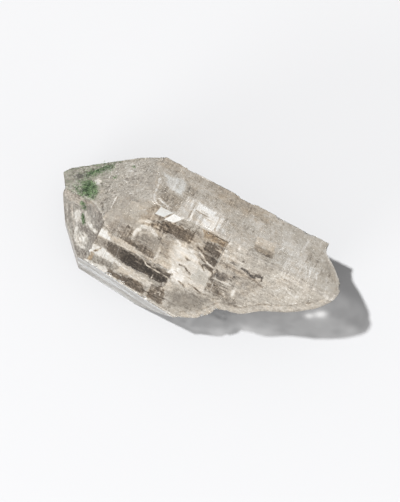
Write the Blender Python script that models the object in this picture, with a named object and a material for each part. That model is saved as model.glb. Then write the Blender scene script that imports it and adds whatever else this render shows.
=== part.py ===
"""Himalayan chlorite quartz: one natural point lying on its side, tip toward -X, broken base toward +X.

The stone is one solid. It is a six-sided prism with the low ledges that cross quartz prism faces, cut by
the slanting faces of its termination. A slab of later growth stands a little proud of the tip's near
half and ends in a ledge and a notch. The base is a shelly break that slants back underneath. Growth
plates, worn ridges, chips and pits are joined to or cut from the same solid.

While it is built, x runs along the crystal's axis from near the tip, y runs from the top ridge toward the
far side, and z is the height above the ground, all in millimetres. At the end the stone is moved so that
its origin is under the middle of its bounding box, and scaled to metres.
"""

import math
import random

import bmesh
import bpy
from mathutils import Matrix, Vector

MM = 0.001
MERGE_DISTANCE = 0.005
TOOL_REACH = 16.0

# Cross-section of the prism, looking along the axis
RIDGE_HEIGHT = 29.3
FAR_REACH = 14.2
NEAR_REACH = 21.4
FACE_TILT = 30.0
NEAR_FACE_LEAN = 3.3
NEAR_FACE_YAW = 4.5
NEAR_FACE_X = 19.5
FLAT_FAR_EDGE = 1.3
PRISM_START = -6.0
PRISM_END = 92.0

# Slanting faces of the termination: a point on each, and its normal as pole and azimuth. The pole is the
# angle from the tip's direction, the azimuth turns from straight up toward the near side.
MAIN_TIP_FACE = ((29.4, 0.0, 29.3), 53.6, -20.4)
CLEAR_TIP_FACE = ((19.4, -15.0, 20.64), 51.8, 30.0)
FAR_POINT_FACE = ((0.7, -0.8, 7.0), 35.5, -91.0)
FAR_TIP_FACE = ((2.3, 1.45, 7.4), 60.3, -91.0)
FAR_SHOULDER_FACE = ((25.8, 13.9, 21.3), 69.7, -92.0)
NEAR_TIP_FACE = ((16.5, -21.7, 0.0), 46.0, 86.0)
UNDER_NEAR_FACE = ((15.2, -22.0, 0.0), 51.8, 150.0)
UNDER_FAR_FACE = ((0.7, -0.8, 7.0), 51.8, 208.0)

# Low ledges across the prism faces: where along x each one is, and how far the face steps outward
LEDGE_RUN = 0.22
UPPER_LEDGES = ((32.5, -0.18), (36.2, 0.22), (43.0, -0.14), (47.8, 0.20), (56.0, -0.25), (61.5, 0.18),
                (66.0, -0.16), (70.4, 0.24), (75.5, -0.12))
MAIN_LEDGES = ((27.0, -0.12), (38.5, 0.14), (60.0, -0.15), (71.0, 0.15))
NEAR_LEDGES = ((24.5, -0.10), (33.0, 0.16), (42.0, -0.12))
FAR_LEDGES = ((33.0, -0.30), (41.0, 0.25), (49.5, -0.35), (54.0, 0.30), (63.0, -0.28), (69.5, 0.22))
UNDER_LEDGES = ((28.0, -0.30), (39.0, 0.40), (52.0, -0.45), (66.0, 0.35))

# Break at the base: the line along which it meets the top, from the near foot round to the far edge
BREAK_EDGE = ((38.0, -29.2, 12.5), (45.2, -25.9, 14.3), (49.6, -23.4, 15.8), (54.9, -21.1, 17.2),
              (57.6, -18.6, 18.7), (59.3, -16.3, 19.9), (65.2, -14.9, 20.8), (69.8, -11.8, 22.5),
              (76.3, -9.0, 24.2), (82.6, -4.9, 26.5), (86.0, -1.0, 28.7), (86.3, 3.6, 27.2),
              (82.2, 8.1, 24.6), (78.1, 11.2, 22.8), (77.9, 13.6, 21.4), (76.6, 17.6, 19.1),
              (74.4, 22.6, 16.2))
BREAK_LEAN_NEAR = 24.0
BREAK_LEAN_FAR = 13.0
BREAK_TURN_NEAR = 122.6
BREAK_TURN_FAR = 198.0
BREAK_TURN_START = 0.20
BREAK_TURN_END = 0.95
EDGE_SMOOTHING = 0.55
BREAK_COLUMNS = 78
BREAK_ROWS = 22
BREAK_RISE = 6.0
BREAK_BELOW_GROUND = 2.0
BREAK_PULL = Vector((62.0, -15.0, 0.0))

# Hollows left by flakes in the break: place along its edge (0 to 1), depth below the edge, radius, depth
FLAKES = ((0.20, 9.0, 8.5, 1.30), (0.36, 13.0, 9.5, 1.70), (0.47, 5.5, 5.5, 0.85), (0.57, 12.0, 8.5, 1.50),
          (0.67, 22.0, 9.0, 1.60), (0.73, 7.5, 7.5, 1.25), (0.85, 13.5, 8.0, 1.30), (0.42, 24.0, 8.0, 1.10),
          (0.93, 22.0, 7.0, 1.00))
RIPPLE_STEP = 1.9
RIPPLE_HEIGHT = 0.10

# Window face and worn ridge on top
WINDOW_END = 53.6
WORN_RIDGE_DEPTH = 0.75
WORN_RIDGE_HALF_WIDTH = 14.0
WORN_RIDGE_TILT = 3.0

# Slab of later growth at the tip
SLAB_EDGE = ((-8.0, -3.35), (4.2, -5.0), (14.6, -6.4), (20.8, -11.0), (25.0, -14.1))
SLAB_OUTSIDE = ((25.0, -34.0), (-8.0, -34.0))
SLAB_LEDGE_DROP = 0.55
TIP_TRIM = ((-3.2, 4.2), (0.7, -0.8), (4.2, -5.3))
CLEAR_TRIM = ((3.4, -4.9), (3.7, -7.1), (5.0, -9.2), (7.6, -13.1))
TRIM_LEAN = Vector((0.9, 0.5, 0.0))

# Growth plates: which face, x and distance down the face of each corner, and how far they stand proud
PLATES = (
    ("upper", ((30.4, 3.6), (35.8, 2.2), (37.6, 6.4), (36.4, 10.8), (30.8, 11.6)), 0.22),
    ("upper", ((41.4, 0.9), (52.4, 0.7), (52.8, 6.2), (48.8, 7.4), (41.9, 6.8)), 0.16),
    ("upper", ((62.6, 1.8), (69.4, 1.4), (69.9, 5.9), (64.2, 6.6)), 0.26),
    ("main", ((24.6, 2.6), (30.2, 1.1), (30.0, 4.4), (24.0, 6.4)), 0.20),
    ("main", ((45.2, 14.0), (51.0, 13.0), (52.5, 16.8), (47.0, 20.4), (45.4, 19.0)), 0.18),
    ("main", ((54.4, 9.6), (62.0, 8.8), (64.6, 12.0), (60.4, 15.2), (55.0, 15.6)), 0.22),
    ("far", ((35.0, 2.0), (48.0, 1.4), (50.0, 6.5), (41.0, 9.4), (36.0, 7.6)), 0.40),
    ("far", ((56.0, 4.0), (68.0, 2.6), (70.5, 9.0), (60.0, 11.0)), 0.34),
)

PLATE_ROOT = 1.2

# Windows cut a little into the main face: outline as above, and depth
RECESSES = (
    ("main", ((31.5, 0.7), (53.1, 0.6), (53.3, 10.2), (47.2, 12.6), (30.6, 12.2), (24.6, 13.6),
              (24.2, 8.0)), 0.16),
    ("main", ((27.0, 16.4), (43.0, 15.6), (43.8, 19.6), (34.2, 20.2), (27.4, 19.8)), 0.15),
)

# Chipped edges: both ends, the way out of the stone, number of chips, smallest and largest radius
CHIPPED_EDGES = (
    ((24.5, 14.2, 21.1), (77.0, 14.2, 21.1), (0.0, 0.87, 0.5), 15, 0.6, 1.9),
    ((19.8, -21.4, 16.9), (47.5, -23.6, 15.7), (0.0, -0.87, 0.5), 8, 0.5, 1.6),
    ((30.0, 0.0, 29.3), (52.5, 0.0, 29.3), (0.0, 0.0, 1.0), 5, 0.4, 1.1),
    ((2.6, 1.7, 7.6), (25.4, 13.7, 21.1), (-0.5, 0.7, 0.5), 8, 0.5, 1.3),
    ((4.9, -9.0, 11.0), (17.8, -21.2, 16.5), (-0.6, -0.6, 0.5), 7, 0.4, 1.2),
    ((25.2, 13.6, 20.8), (29.3, 0.4, 29.0), (-0.4, 0.2, 0.9), 3, 0.4, 0.9),
    ((30.0, 14.2, 7.3), (74.0, 14.2, 7.3), (0.0, 0.87, -0.5), 7, 0.7, 2.0),
    ((18.0, -22.5, 0.4), (38.0, -24.0, 0.4), (0.0, -0.87, -0.5), 4, 0.4, 1.0),
)
BREAK_CHIPS = 17
BREAK_CHIP_RANGE = (0.13, 0.87)
BREAK_CHIP_RADII = (0.6, 1.9)
BREAK_CHIP_LIFT = 0.6
CHIP_DEPTH_SHARE = (0.25, 0.55)
CHIP_STRETCH = (0.8, 2.3)
CHIP_TURN = 25.0
CHIP_GAP_SHARE = (0.1, 0.9)
CHIP_SEED = 5

# Three-sided growth pits on the main tip face: x, y and side
TIP_PITS = ((14.6, 2.4, 1.5), (19.8, 6.8, 1.9), (18.2, -1.6, 1.2), (23.4, 3.6, 1.4), (10.2, -1.2, 1.1))
PIT_DEPTH = 0.22
PIT_RIM_RISE = 0.3

BASE_COLOUR = (0.93, 0.915, 0.89, 1.0)
ROUGHNESS = 0.12
IOR = 1.544


def clear_scene():
    """Remove every object that the file starts with."""
    for item in list(bpy.data.objects):
        bpy.data.objects.remove(item, do_unlink=True)


def face_normal(pole, azimuth):
    """Outward normal from its angle to the tip's direction and its turn from up to the near side."""
    p, a = math.radians(pole), math.radians(azimuth)
    return Vector((-math.cos(p), -math.sin(p) * math.sin(a), math.sin(p) * math.cos(a)))


def ledge_height(ledges, x):
    """Sum of the ledges passed at x, each one a short ramp."""
    return sum(rise * min(max((x - place) / LEDGE_RUN, 0.0), 1.0) for place, rise in ledges)


def prism_faces(x):
    """The six side faces at x as (normal y, normal z, distance), in order round the section."""
    tilt, lean = math.radians(FACE_TILT), math.radians(NEAR_FACE_LEAN)
    slope = math.tan(tilt)
    near_y = -NEAR_REACH - (x - NEAR_FACE_X) * math.tan(math.radians(NEAR_FACE_YAW))
    near_z = RIDGE_HEIGHT - NEAR_REACH * slope
    upper = (math.sin(tilt), math.cos(tilt))
    main = (-math.sin(tilt), math.cos(tilt))
    near = (-math.cos(lean), math.sin(lean))
    under = (math.sin(tilt), -math.cos(tilt))
    ridge = RIDGE_HEIGHT * math.cos(tilt)
    return (
        (*upper, ridge + ledge_height(UPPER_LEDGES, x)),
        (*main, ridge + ledge_height(MAIN_LEDGES, x)),
        (*near, near[0] * near_y + near[1] * near_z + ledge_height(NEAR_LEDGES, x)),
        (0.0, -1.0, 0.0),
        (*under, under[0] * FLAT_FAR_EDGE + ledge_height(UNDER_LEDGES, x)),
        (1.0, 0.0, FAR_REACH + ledge_height(FAR_LEDGES, x)),
    )


def section(x):
    """Corners of the prism's section at x, each where two neighbouring faces meet."""
    faces = prism_faces(x)
    corners = []
    for (ay, az, ad), (by, bz, bd) in zip(faces, faces[1:] + faces[:1]):
        det = ay * bz - az * by
        corners.append(Vector((x, (ad * bz - az * bd) / det, (ay * bd - ad * by) / det)))
    return corners


def prism(bm):
    """The stepped six-sided prism, longer than the stone at both ends."""
    places = {PRISM_START, PRISM_END}
    for ledges in (UPPER_LEDGES, MAIN_LEDGES, NEAR_LEDGES, FAR_LEDGES, UNDER_LEDGES):
        for place, _ in ledges:
            places.update((place, place + LEDGE_RUN))
    rings = [[bm.verts.new(corner) for corner in section(x)] for x in sorted(places)]
    for ring, following in zip(rings, rings[1:]):
        for i in range(len(ring)):
            j = (i + 1) % len(ring)
            bm.faces.new((ring[i], ring[j], following[j], following[i]))
    bm.faces.new(reversed(rings[0]))
    bm.faces.new(rings[-1])
    bmesh.ops.recalc_face_normals(bm, faces=bm.faces)


def cut_away(bm, point, pole, azimuth):
    """Cut off what lies outside one flat face and close the cut."""
    cut = bmesh.ops.bisect_plane(bm, geom=bm.verts[:] + bm.edges[:] + bm.faces[:], dist=1e-5,
                                 plane_co=Vector(point), plane_no=face_normal(pole, azimuth),
                                 clear_outer=True)
    rim = [item for item in cut["geom_cut"] if isinstance(item, bmesh.types.BMEdge)]
    bmesh.ops.holes_fill(bm, edges=rim, sides=0)


def object_from(bm, name):
    """A new object that holds this mesh, in the scene."""
    bmesh.ops.recalc_face_normals(bm, faces=bm.faces)
    mesh = bpy.data.meshes.new(name)
    bm.to_mesh(mesh)
    bm.free()
    item = bpy.data.objects.new(name, mesh)
    bpy.context.scene.collection.objects.link(item)
    return item


def carve(stone, tool, operation="DIFFERENCE"):
    """Cut the tool out of the stone or join it on, then remove the tool."""
    modifier = stone.modifiers.new(tool.name, "BOOLEAN")
    modifier.operation = operation
    modifier.solver = "EXACT"
    modifier.object = tool
    bpy.context.view_layer.update()
    result = bpy.data.meshes.new_from_object(stone.evaluated_get(bpy.context.evaluated_depsgraph_get()))
    stone.modifiers.remove(modifier)
    stone.data = result
    bpy.data.objects.remove(tool, do_unlink=True)


def slab_between(corners, bottom, top):
    """Closed solid between two copies of a flat outline, one at each of two offsets."""
    bm = bmesh.new()
    low = [bm.verts.new(corner + bottom) for corner in corners]
    high = [bm.verts.new(corner + top) for corner in corners]
    bm.faces.new(low)
    bm.faces.new(reversed(high))
    for i in range(len(corners)):
        j = (i + 1) % len(corners)
        bm.faces.new((low[i], high[i], high[j], low[j]))
    return bm


def on_face(face, x, down):
    """Point on a prism face at x, the given distance down from its upper edge, and the face's normal."""
    tilt = math.radians(FACE_TILT)
    if face == "upper":
        point = Vector((x, down * math.cos(tilt), RIDGE_HEIGHT - down * math.sin(tilt)))
        return point, Vector((0.0, math.sin(tilt), math.cos(tilt)))
    if face == "main":
        point = Vector((x, -down * math.cos(tilt), RIDGE_HEIGHT - down * math.sin(tilt)))
        return point, Vector((0.0, -math.sin(tilt), math.cos(tilt)))
    height = RIDGE_HEIGHT - FAR_REACH * math.tan(tilt)
    return Vector((x, FAR_REACH, height - down)), Vector((0.0, 1.0, 0.0))


def add_plates(stone):
    """Thin plates of later growth, standing a little proud of the prism faces."""
    for number, (face, outline, proud) in enumerate(PLATES):
        corners = [on_face(face, x, down)[0] for x, down in outline]
        normal = on_face(face, 0.0, 0.0)[1]
        plate = slab_between(corners, -PLATE_ROOT * normal, proud * normal)
        carve(stone, object_from(plate, f"plate_{number}"), "UNION")


def cut_recesses(stone):
    """Shallow flat-bottomed windows in the main face."""
    for number, (face, outline, depth) in enumerate(RECESSES):
        corners = [on_face(face, x, down)[0] for x, down in outline]
        normal = on_face(face, 0.0, 0.0)[1]
        window = slab_between(corners, -depth * normal, PLATE_ROOT * normal)
        carve(stone, object_from(window, f"recess_{number}"))


def wear_ridge(stone):
    """Flatten the top ridge from the window's end to the break, with a step across the window's end."""
    tilt = math.radians(WORN_RIDGE_TILT)
    level = Vector((0.0, 0.0, RIDGE_HEIGHT - WORN_RIDGE_DEPTH))
    across = Vector((0.0, math.cos(tilt), math.sin(tilt)))
    near, far = level - WORN_RIDGE_HALF_WIDTH * across, level + WORN_RIDGE_HALF_WIDTH * across
    start, end = Vector((WINDOW_END, 0.0, 0.0)), Vector((PRISM_END, 0.0, 0.0))
    corners = [near + start, near + end, far + end, far + start]
    carve(stone, object_from(slab_between(corners, Vector(), Vector((0.0, 0.0, TOOL_REACH))), "worn_ridge"))


def trim_tip(stone):
    """Set the slab's own point back from the clear half's, which leaves the notch in the outline."""
    for name, trim, outside_y, lean in (("tip_trim", TIP_TRIM, (-4.9, 4.2), Vector()),
                                        ("clear_trim", CLEAR_TRIM, (-20.0, -4.9), TRIM_LEAN)):
        outside = tuple((-TOOL_REACH, y) for y in outside_y)
        corners = [Vector((x, y, 0.0)) for x, y in trim + outside]
        foot = Vector((0.0, 0.0, -TOOL_REACH))
        head = Vector((0.0, 0.0, RIDGE_HEIGHT)) + lean
        carve(stone, object_from(slab_between(corners, foot, head), name))


def cut_slab_ledge(stone):
    """Lower the clear half of the tip by a ledge that runs along the slab's edge and turns down its side."""
    point, pole, azimuth = CLEAR_TIP_FACE
    normal = face_normal(pole, azimuth)
    corners = []
    for x, y in SLAB_EDGE + SLAB_OUTSIDE:
        height = point[2] - (normal.x * (x - point[0]) + normal.y * (y - point[1])) / normal.z
        corners.append(Vector((x, y, height)))
    low = -SLAB_LEDGE_DROP * normal
    high = low + Vector((0.0, 0.0, TOOL_REACH))
    carve(stone, object_from(slab_between(corners, low, high), "slab_ledge"))


def spline_point(points, t):
    """Point on the smooth curve that passes through the points, t from 0 to 1."""
    place = t * (len(points) - 1)
    i = min(int(place), len(points) - 2)
    s = place - i
    a, b, c, d = (Vector(points[min(max(i + k, 0), len(points) - 1)]) for k in (-1, 0, 1, 2))
    straight = b.lerp(c, s)
    square, cube = 2 * a - 5 * b + 4 * c - d, 3 * b - a - 3 * c + d
    smooth = 0.5 * (2 * b + (c - a) * s + square * s ** 2 + cube * s ** 3)
    return straight.lerp(smooth, EDGE_SMOOTHING)


def flake_depth(t, down, run):
    """Depth that the deepest flake takes at this place, with the ripples that spread from its start."""
    deepest = 0.0
    for place, below, radius, depth in FLAKES:
        distance = math.hypot((t - place) * run, down - below) / radius
        if distance < 1.0:
            ripple = RIPPLE_HEIGHT * math.sin(2.0 * math.pi * distance * radius / RIPPLE_STEP)
            fade = 1.0 - distance * distance
            deepest = max(deepest, depth * fade + ripple * fade)
    return deepest


def break_inward(t):
    """Level direction into the stone from the break at t, turning steadily round the broken end."""
    share = (t - BREAK_TURN_START) / (BREAK_TURN_END - BREAK_TURN_START)
    turn = BREAK_TURN_NEAR + (BREAK_TURN_FAR - BREAK_TURN_NEAR) * min(max(share, 0.0), 1.0)
    return Vector((math.cos(math.radians(turn)), math.sin(math.radians(turn)), 0.0))


def break_tool():
    """Solid whose inner side is the shelly break, and whose outer side lies clear of the stone."""
    run = sum((Vector(b) - Vector(a)).length for a, b in zip(BREAK_EDGE, BREAK_EDGE[1:]))
    bm = bmesh.new()
    grid = []
    for column in range(BREAK_COLUMNS + 1):
        t = column / BREAK_COLUMNS
        edge = spline_point(BREAK_EDGE, t)
        inward = break_inward(t)
        lean = math.radians(BREAK_LEAN_NEAR + (BREAK_LEAN_FAR - BREAK_LEAN_NEAR) * t)
        slope = Vector((inward.x * math.tan(lean), inward.y * math.tan(lean), -1.0))
        start = edge - BREAK_RISE * slope
        depth = start.z + BREAK_BELOW_GROUND
        strip = []
        for row in range(BREAK_ROWS + 1):
            down = depth * row / BREAK_ROWS
            point = start + down * slope + flake_depth(t, down - BREAK_RISE, run) * inward
            strip.append(bm.verts.new(point))
        grid.append(strip)
    front = []
    for left, right in zip(grid, grid[1:]):
        for row in range(BREAK_ROWS):
            front.append(bm.faces.new((left[row], left[row + 1], right[row + 1], right[row])))
    moved = bmesh.ops.extrude_face_region(bm, geom=front, use_keep_orig=True)
    outer = [item for item in moved["geom"] if isinstance(item, bmesh.types.BMVert)]
    bmesh.ops.translate(bm, verts=outer, vec=BREAK_PULL)
    return object_from(bm, "break_tool")


def chip_tool(name, place, along, outward, radius, share, stretch, turn):
    """Flattened ball that dips into the stone at a place on one of its edges."""
    along = along.normalized()
    outward = (outward - outward.dot(along) * along).normalized()
    turned = Matrix.Rotation(turn, 3, outward) @ along
    frame = Matrix((turned, outward.cross(turned), outward)).transposed().to_4x4()
    size = Matrix.Diagonal((radius * stretch, radius, radius, 1.0))
    centre = place + outward * radius * (1.0 - share)
    bm = bmesh.new()
    bmesh.ops.create_icosphere(bm, subdivisions=2, radius=1.0)
    bmesh.ops.transform(bm, matrix=Matrix.Translation(centre) @ frame @ size, verts=bm.verts)
    return object_from(bm, name)


def cut_chips(stone):
    """Small shelly chips of mixed size along the worn edges and round the break."""
    rng = random.Random(CHIP_SEED)
    spots = []
    for start, end, outward, number, smallest, largest in CHIPPED_EDGES:
        start, end = Vector(start), Vector(end)
        for i in range(number):
            place = start.lerp(end, (i + rng.uniform(*CHIP_GAP_SHARE)) / number)
            spots.append((place, end - start, Vector(outward), smallest, largest))
    first, last = BREAK_CHIP_RANGE
    for i in range(BREAK_CHIPS):
        t = first + (last - first) * (i + rng.uniform(*CHIP_GAP_SHARE)) / BREAK_CHIPS
        place = spline_point(BREAK_EDGE, t)
        ahead = spline_point(BREAK_EDGE, t + 0.02) - spline_point(BREAK_EDGE, t - 0.02)
        outward = Vector((ahead.y, -ahead.x, BREAK_CHIP_LIFT * ahead.xy.length))
        spots.append((place, ahead, outward, *BREAK_CHIP_RADII))
    for number, (place, along, outward, smallest, largest) in enumerate(spots):
        radius = smallest + (largest - smallest) * rng.random() ** 2
        share, stretch = rng.uniform(*CHIP_DEPTH_SHARE), rng.uniform(*CHIP_STRETCH)
        turn = math.radians(rng.uniform(-CHIP_TURN, CHIP_TURN))
        carve(stone, chip_tool(f"chip_{number}", place, along, outward, radius, share, stretch, turn))


def cut_tip_pits(stone):
    """Three-sided pits in the main tip face, all pointing the same way."""
    point, pole, azimuth = MAIN_TIP_FACE
    normal = face_normal(pole, azimuth)
    along = Vector((1.0, 0.0, 0.0)).cross(normal).normalized()
    up = normal.cross(along)
    for number, (x, y, side) in enumerate(TIP_PITS):
        height = point[2] - (normal.x * (x - point[0]) + normal.y * (y - point[1])) / normal.z
        centre = Vector((x, y, height))
        bm = bmesh.new()
        rim = []
        for corner in range(3):
            angle = math.radians(90.0 + 120.0 * corner)
            corner_way = math.cos(angle) * along + math.sin(angle) * up
            rim.append(bm.verts.new(centre + side * corner_way + PIT_RIM_RISE * normal))
        floor = bm.verts.new(centre - PIT_DEPTH * side * normal)
        bm.faces.new(rim)
        for i in range(3):
            bm.faces.new((rim[i], floor, rim[(i + 1) % 3]))
        carve(stone, object_from(bm, f"tip_pit_{number}"))


def crystal_material():
    """Clear, very slightly warm quartz."""
    material = bpy.data.materials.new("clear_quartz")
    material.use_nodes = True
    shader = material.node_tree.nodes["Principled BSDF"]
    shader.inputs["Base Color"].default_value = BASE_COLOUR
    shader.inputs["Roughness"].default_value = ROUGHNESS
    shader.inputs["IOR"].default_value = IOR
    shader.inputs["Transmission Weight"].default_value = 1.0
    return material


def settle(stone):
    """Put the origin under the middle of the bounding box and go from millimetres to metres."""
    bm = bmesh.new()
    bm.from_mesh(stone.data)
    low = Vector([min(vertex.co[i] for vertex in bm.verts) for i in range(3)])
    high = Vector([max(vertex.co[i] for vertex in bm.verts) for i in range(3)])
    middle = (low + high) / 2
    bmesh.ops.remove_doubles(bm, verts=bm.verts, dist=MERGE_DISTANCE)
    bmesh.ops.translate(bm, verts=bm.verts, vec=Vector((-middle.x, -middle.y, -low.z)))
    bmesh.ops.scale(bm, verts=bm.verts, vec=Vector((MM, MM, MM)))
    bm.to_mesh(stone.data)
    bm.free()


def build_crystal():
    """The whole stone as one closed solid named crystal."""
    bm = bmesh.new()
    prism(bm)
    for face in (MAIN_TIP_FACE, CLEAR_TIP_FACE, FAR_POINT_FACE, FAR_TIP_FACE, FAR_SHOULDER_FACE,
                 NEAR_TIP_FACE, UNDER_NEAR_FACE, UNDER_FAR_FACE):
        cut_away(bm, *face)
    stone = object_from(bm, "crystal")
    wear_ridge(stone)
    add_plates(stone)
    cut_recesses(stone)
    trim_tip(stone)
    cut_slab_ledge(stone)
    cut_tip_pits(stone)
    carve(stone, break_tool())
    cut_chips(stone)
    settle(stone)
    stone.data.materials.clear()
    stone.data.materials.append(crystal_material())
    return stone


clear_scene()
build_crystal()
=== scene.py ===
"""A Himalayan chlorite quartz point, lying on its side on a pale ground.

The grown stone is a glass-like skin. Just under it lies a thin frost, which the dull faces show and the
clear ones don't; its tone carries painted light, painted shade and painted glints in places. Deeper in lie
healed fractures, white planes, dark planes that are partly smoky and partly painted shade, fine cracks and
tufts of green chlorite. All places are in millimetres along the stone (x from near the tip), across it (y
from the top ridge, plus is the far side) and up (z), and are turned into metres of the row frame as a mesh
is made.
"""

import logging
import math
from abc import ABC, abstractmethod
from collections.abc import Callable
from dataclasses import dataclass, field
from enum import Enum

import bmesh
import bpy
import numpy as np
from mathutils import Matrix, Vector


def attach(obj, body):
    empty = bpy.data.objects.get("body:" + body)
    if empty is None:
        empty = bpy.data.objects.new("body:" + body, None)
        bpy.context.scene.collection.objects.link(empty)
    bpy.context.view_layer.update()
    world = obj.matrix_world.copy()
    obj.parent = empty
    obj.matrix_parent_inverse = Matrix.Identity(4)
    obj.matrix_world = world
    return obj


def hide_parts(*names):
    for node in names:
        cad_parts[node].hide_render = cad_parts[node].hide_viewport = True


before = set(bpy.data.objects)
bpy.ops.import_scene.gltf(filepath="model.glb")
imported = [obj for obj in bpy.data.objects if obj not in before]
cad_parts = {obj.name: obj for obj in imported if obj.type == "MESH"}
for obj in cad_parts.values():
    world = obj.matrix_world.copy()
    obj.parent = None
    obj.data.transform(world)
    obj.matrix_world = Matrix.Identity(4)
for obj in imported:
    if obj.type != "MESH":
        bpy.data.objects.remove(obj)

log = logging.getLogger("quartz")
logging.basicConfig(level=logging.INFO, format="%(message)s")

ORIGIN = np.array([-43.62, 4.62, 0.0])
MILLIMETRE = 0.001
BODY = "root"

# The top ridge's height and the slope of the two long faces that meet in it
RIDGE_HEIGHT = 29.3
FACE_SLOPE = 0.5774

# Metres within which points are merged, and within which a cut meets a point
MERGE_DISTANCE = 0.000004
CUT_TOLERANCE = 0.000001

# Degrees between two faces up to which they count as one, and from which the edge between them is sharp
FLAT_ANGLE = 0.6
SHARP_ANGLE = 34.0

# How many times the long edges are halved at most
MOST_HALVINGS = 14

# The strength of each layer of the layered noise; a layer that is half as strong is twice as fine
LAYERS = (1.0, 0.5, 0.25)

# Large odd numbers that scramble a lattice place and a seed into noise
AXIS_FACTORS = np.array([73856093, 19349663, 83492791])
SEED_FACTOR, FIRST_MIX, SECOND_MIX, WORD = 26544357, 1274126177, 668265263, 0xFFFFFFFF

Span = tuple[float, float]
Triple = tuple[float, float, float]
Colour = tuple[float, float, float]
Mesh = tuple[np.ndarray, np.ndarray]
Surface = tuple[np.ndarray, np.ndarray, dict[str, np.ndarray]]


class Face(Enum):
    """A flat face of the stone: a point on it and its outward normal, in stone millimetres."""

    MAIN = ((40.0, 0.0, RIDGE_HEIGHT), (0.0, -0.5, 0.8660))
    UPPER = ((40.0, 0.0, RIDGE_HEIGHT), (0.0, 0.5, 0.8660))
    TIP = ((29.4, 0.0, RIDGE_HEIGHT), (-0.5934, 0.2806, 0.7544))
    CLEAR = ((19.4, -15.0, 20.64), (-0.6184, -0.3929, 0.6806))

    @property
    def point(self) -> np.ndarray:
        """The point on the face."""
        return np.array(self.value[0])

    @property
    def normal(self) -> np.ndarray:
        """The outward normal."""
        return np.array(self.value[1])

    def under(self, plan: np.ndarray, depth: np.ndarray) -> np.ndarray:
        """Places under the face.

        The height above a plan place is where the face's plane has it; the place then moves against the
        normal by the depth.

        Args:
            plan: x and y of each place.
            depth: how far under the face each place lies.

        Returns:
            x, y and z of each place.
        """
        point, normal = self.point, self.normal
        height = point[2] - ((plan - point[:2]) @ normal[:2]) / normal[2]
        return np.column_stack([plan, height]) - np.reshape(depth, (-1, 1)) * normal


def lattice_noise(places: np.ndarray, seed: int) -> np.ndarray:
    """Smooth noise from -1 to 1: random values at whole-number places, blended by an S-curve on each axis.

    Args:
        places: x, y and z of each place.
        seed: picks one of many noises.

    Returns:
        One value for each place.
    """
    cell = np.floor(places).astype(np.int64)
    part = places - cell
    ease = part * part * (3 - 2 * part)
    total = np.zeros(len(places))
    for corner in range(8):
        step = np.array([corner & 1, corner >> 1 & 1, corner >> 2 & 1])
        mixed = ((cell + step) * AXIS_FACTORS).sum(axis=1) + seed * SEED_FACTOR
        mixed = ((mixed ^ (mixed >> 13)) * FIRST_MIX) & WORD
        mixed = ((mixed ^ (mixed >> 15)) * SECOND_MIX) & WORD
        value = ((mixed >> 8) & 0xFFFF) / 32767.5 - 1
        total += value * np.prod(np.where(step, ease, 1 - ease), axis=1)
    return total


def layered_noise(places: np.ndarray, seed: int) -> np.ndarray:
    """Noise and two copies of it, each twice as fine and half as strong as the last, from about -1 to 1."""
    total = sum(share * lattice_noise(places / share, seed + number) for number, share in enumerate(LAYERS))
    return total / sum(LAYERS)


def smooth_step(value: np.ndarray, low: float, high: float) -> np.ndarray:
    """An S-curve of the values, from 0 at low to 1 at high."""
    t = np.clip((value - low) / (high - low), 0, 1)
    return t * t * (3 - 2 * t)


def pairs(numbers: tuple[float, ...]) -> np.ndarray:
    """The numbers of a row as x and y of each point."""
    return np.reshape(numbers, (-1, 2))


def path_distance(plan: np.ndarray, path: tuple[float, ...]) -> np.ndarray:
    """How far each place is from a path of straight pieces.

    The nearest place of each piece is the foot of the perpendicular on it, held between its ends.

    Args:
        plan: x and y of each place.
        path: x and y of each of the path's points, in one row.

    Returns:
        A distance for each place.
    """
    points = pairs(path)
    start, way = points[:-1], np.diff(points, axis=0)
    away = plan[:, None, :] - start[None]
    t = np.clip((away * way).sum(axis=2) / (way * way).sum(axis=1), 0, 1)
    return np.linalg.norm(away - t[..., None] * way, axis=2).min(axis=1)


def refined(points: np.ndarray, faces: np.ndarray, limit: Callable[[np.ndarray], np.ndarray]) -> Mesh:
    """Halves each edge that is longer than a limit, over and over, so that long flat triangles can carry detail.

    Each triangle becomes two, three or four, by how many of its edges are halved. Neighbours share the
    halved edges, so no gap opens.

    Args:
        points: x, y and z of each point.
        faces: three point numbers for each triangle.
        limit: gives the longest edge allowed at each of many places.

    Returns:
        The new points and triangles.
    """
    for _ in range(MOST_HALVINGS):
        sides = np.sort(faces[:, [[0, 1], [1, 2], [2, 0]]].reshape(-1, 2), axis=1)
        keys, where = np.unique(sides[:, 0] * len(points) + sides[:, 1], return_inverse=True)
        edges = np.column_stack([keys // len(points), keys % len(points)])
        length = np.linalg.norm(points[edges[:, 0]] - points[edges[:, 1]], axis=1)
        halved = length > limit(points[edges].mean(axis=1))
        if not halved.any():
            break
        middle = np.full(len(edges), -1)
        middle[halved] = len(points) + np.arange(halved.sum())
        points = np.vstack([points, points[edges[halved]].mean(axis=1)])
        middle, size = middle[where].reshape(-1, 3), length[where].reshape(-1, 3)
        count = (middle >= 0).sum(axis=1)
        turn = np.where(count == 1, np.argmax(middle >= 0, axis=1), (np.argmax(middle < 0, axis=1) + 1) % 3)
        turn = np.where((count == 1) | (count == 2), turn, 0)
        order = (turn[:, None] + np.arange(3)) % 3
        rows = np.arange(len(faces))[:, None]
        (a, b, c), (ab, bc, ca), size = faces[rows, order].T, middle[rows, order].T, size[rows, order]
        one, two, three = count == 1, count == 2, count == 3
        first = two & (size[:, 0] >= size[:, 1])
        second = two & ~first
        faces = np.vstack([
            faces[count == 0],
            *(np.column_stack(t)[k] for k, t in (
                (one, (a, ab, c)), (one, (ab, b, c)),
                (two, (ab, b, bc)), (first, (ab, bc, c)), (first, (a, ab, c)),
                (second, (a, ab, bc)), (second, (a, bc, c)),
                (three, (a, ab, ca)), (three, (ab, b, bc)), (three, (ca, bc, c)), (three, (ab, bc, ca)),
            )),
        ])
    return points, faces


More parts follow.
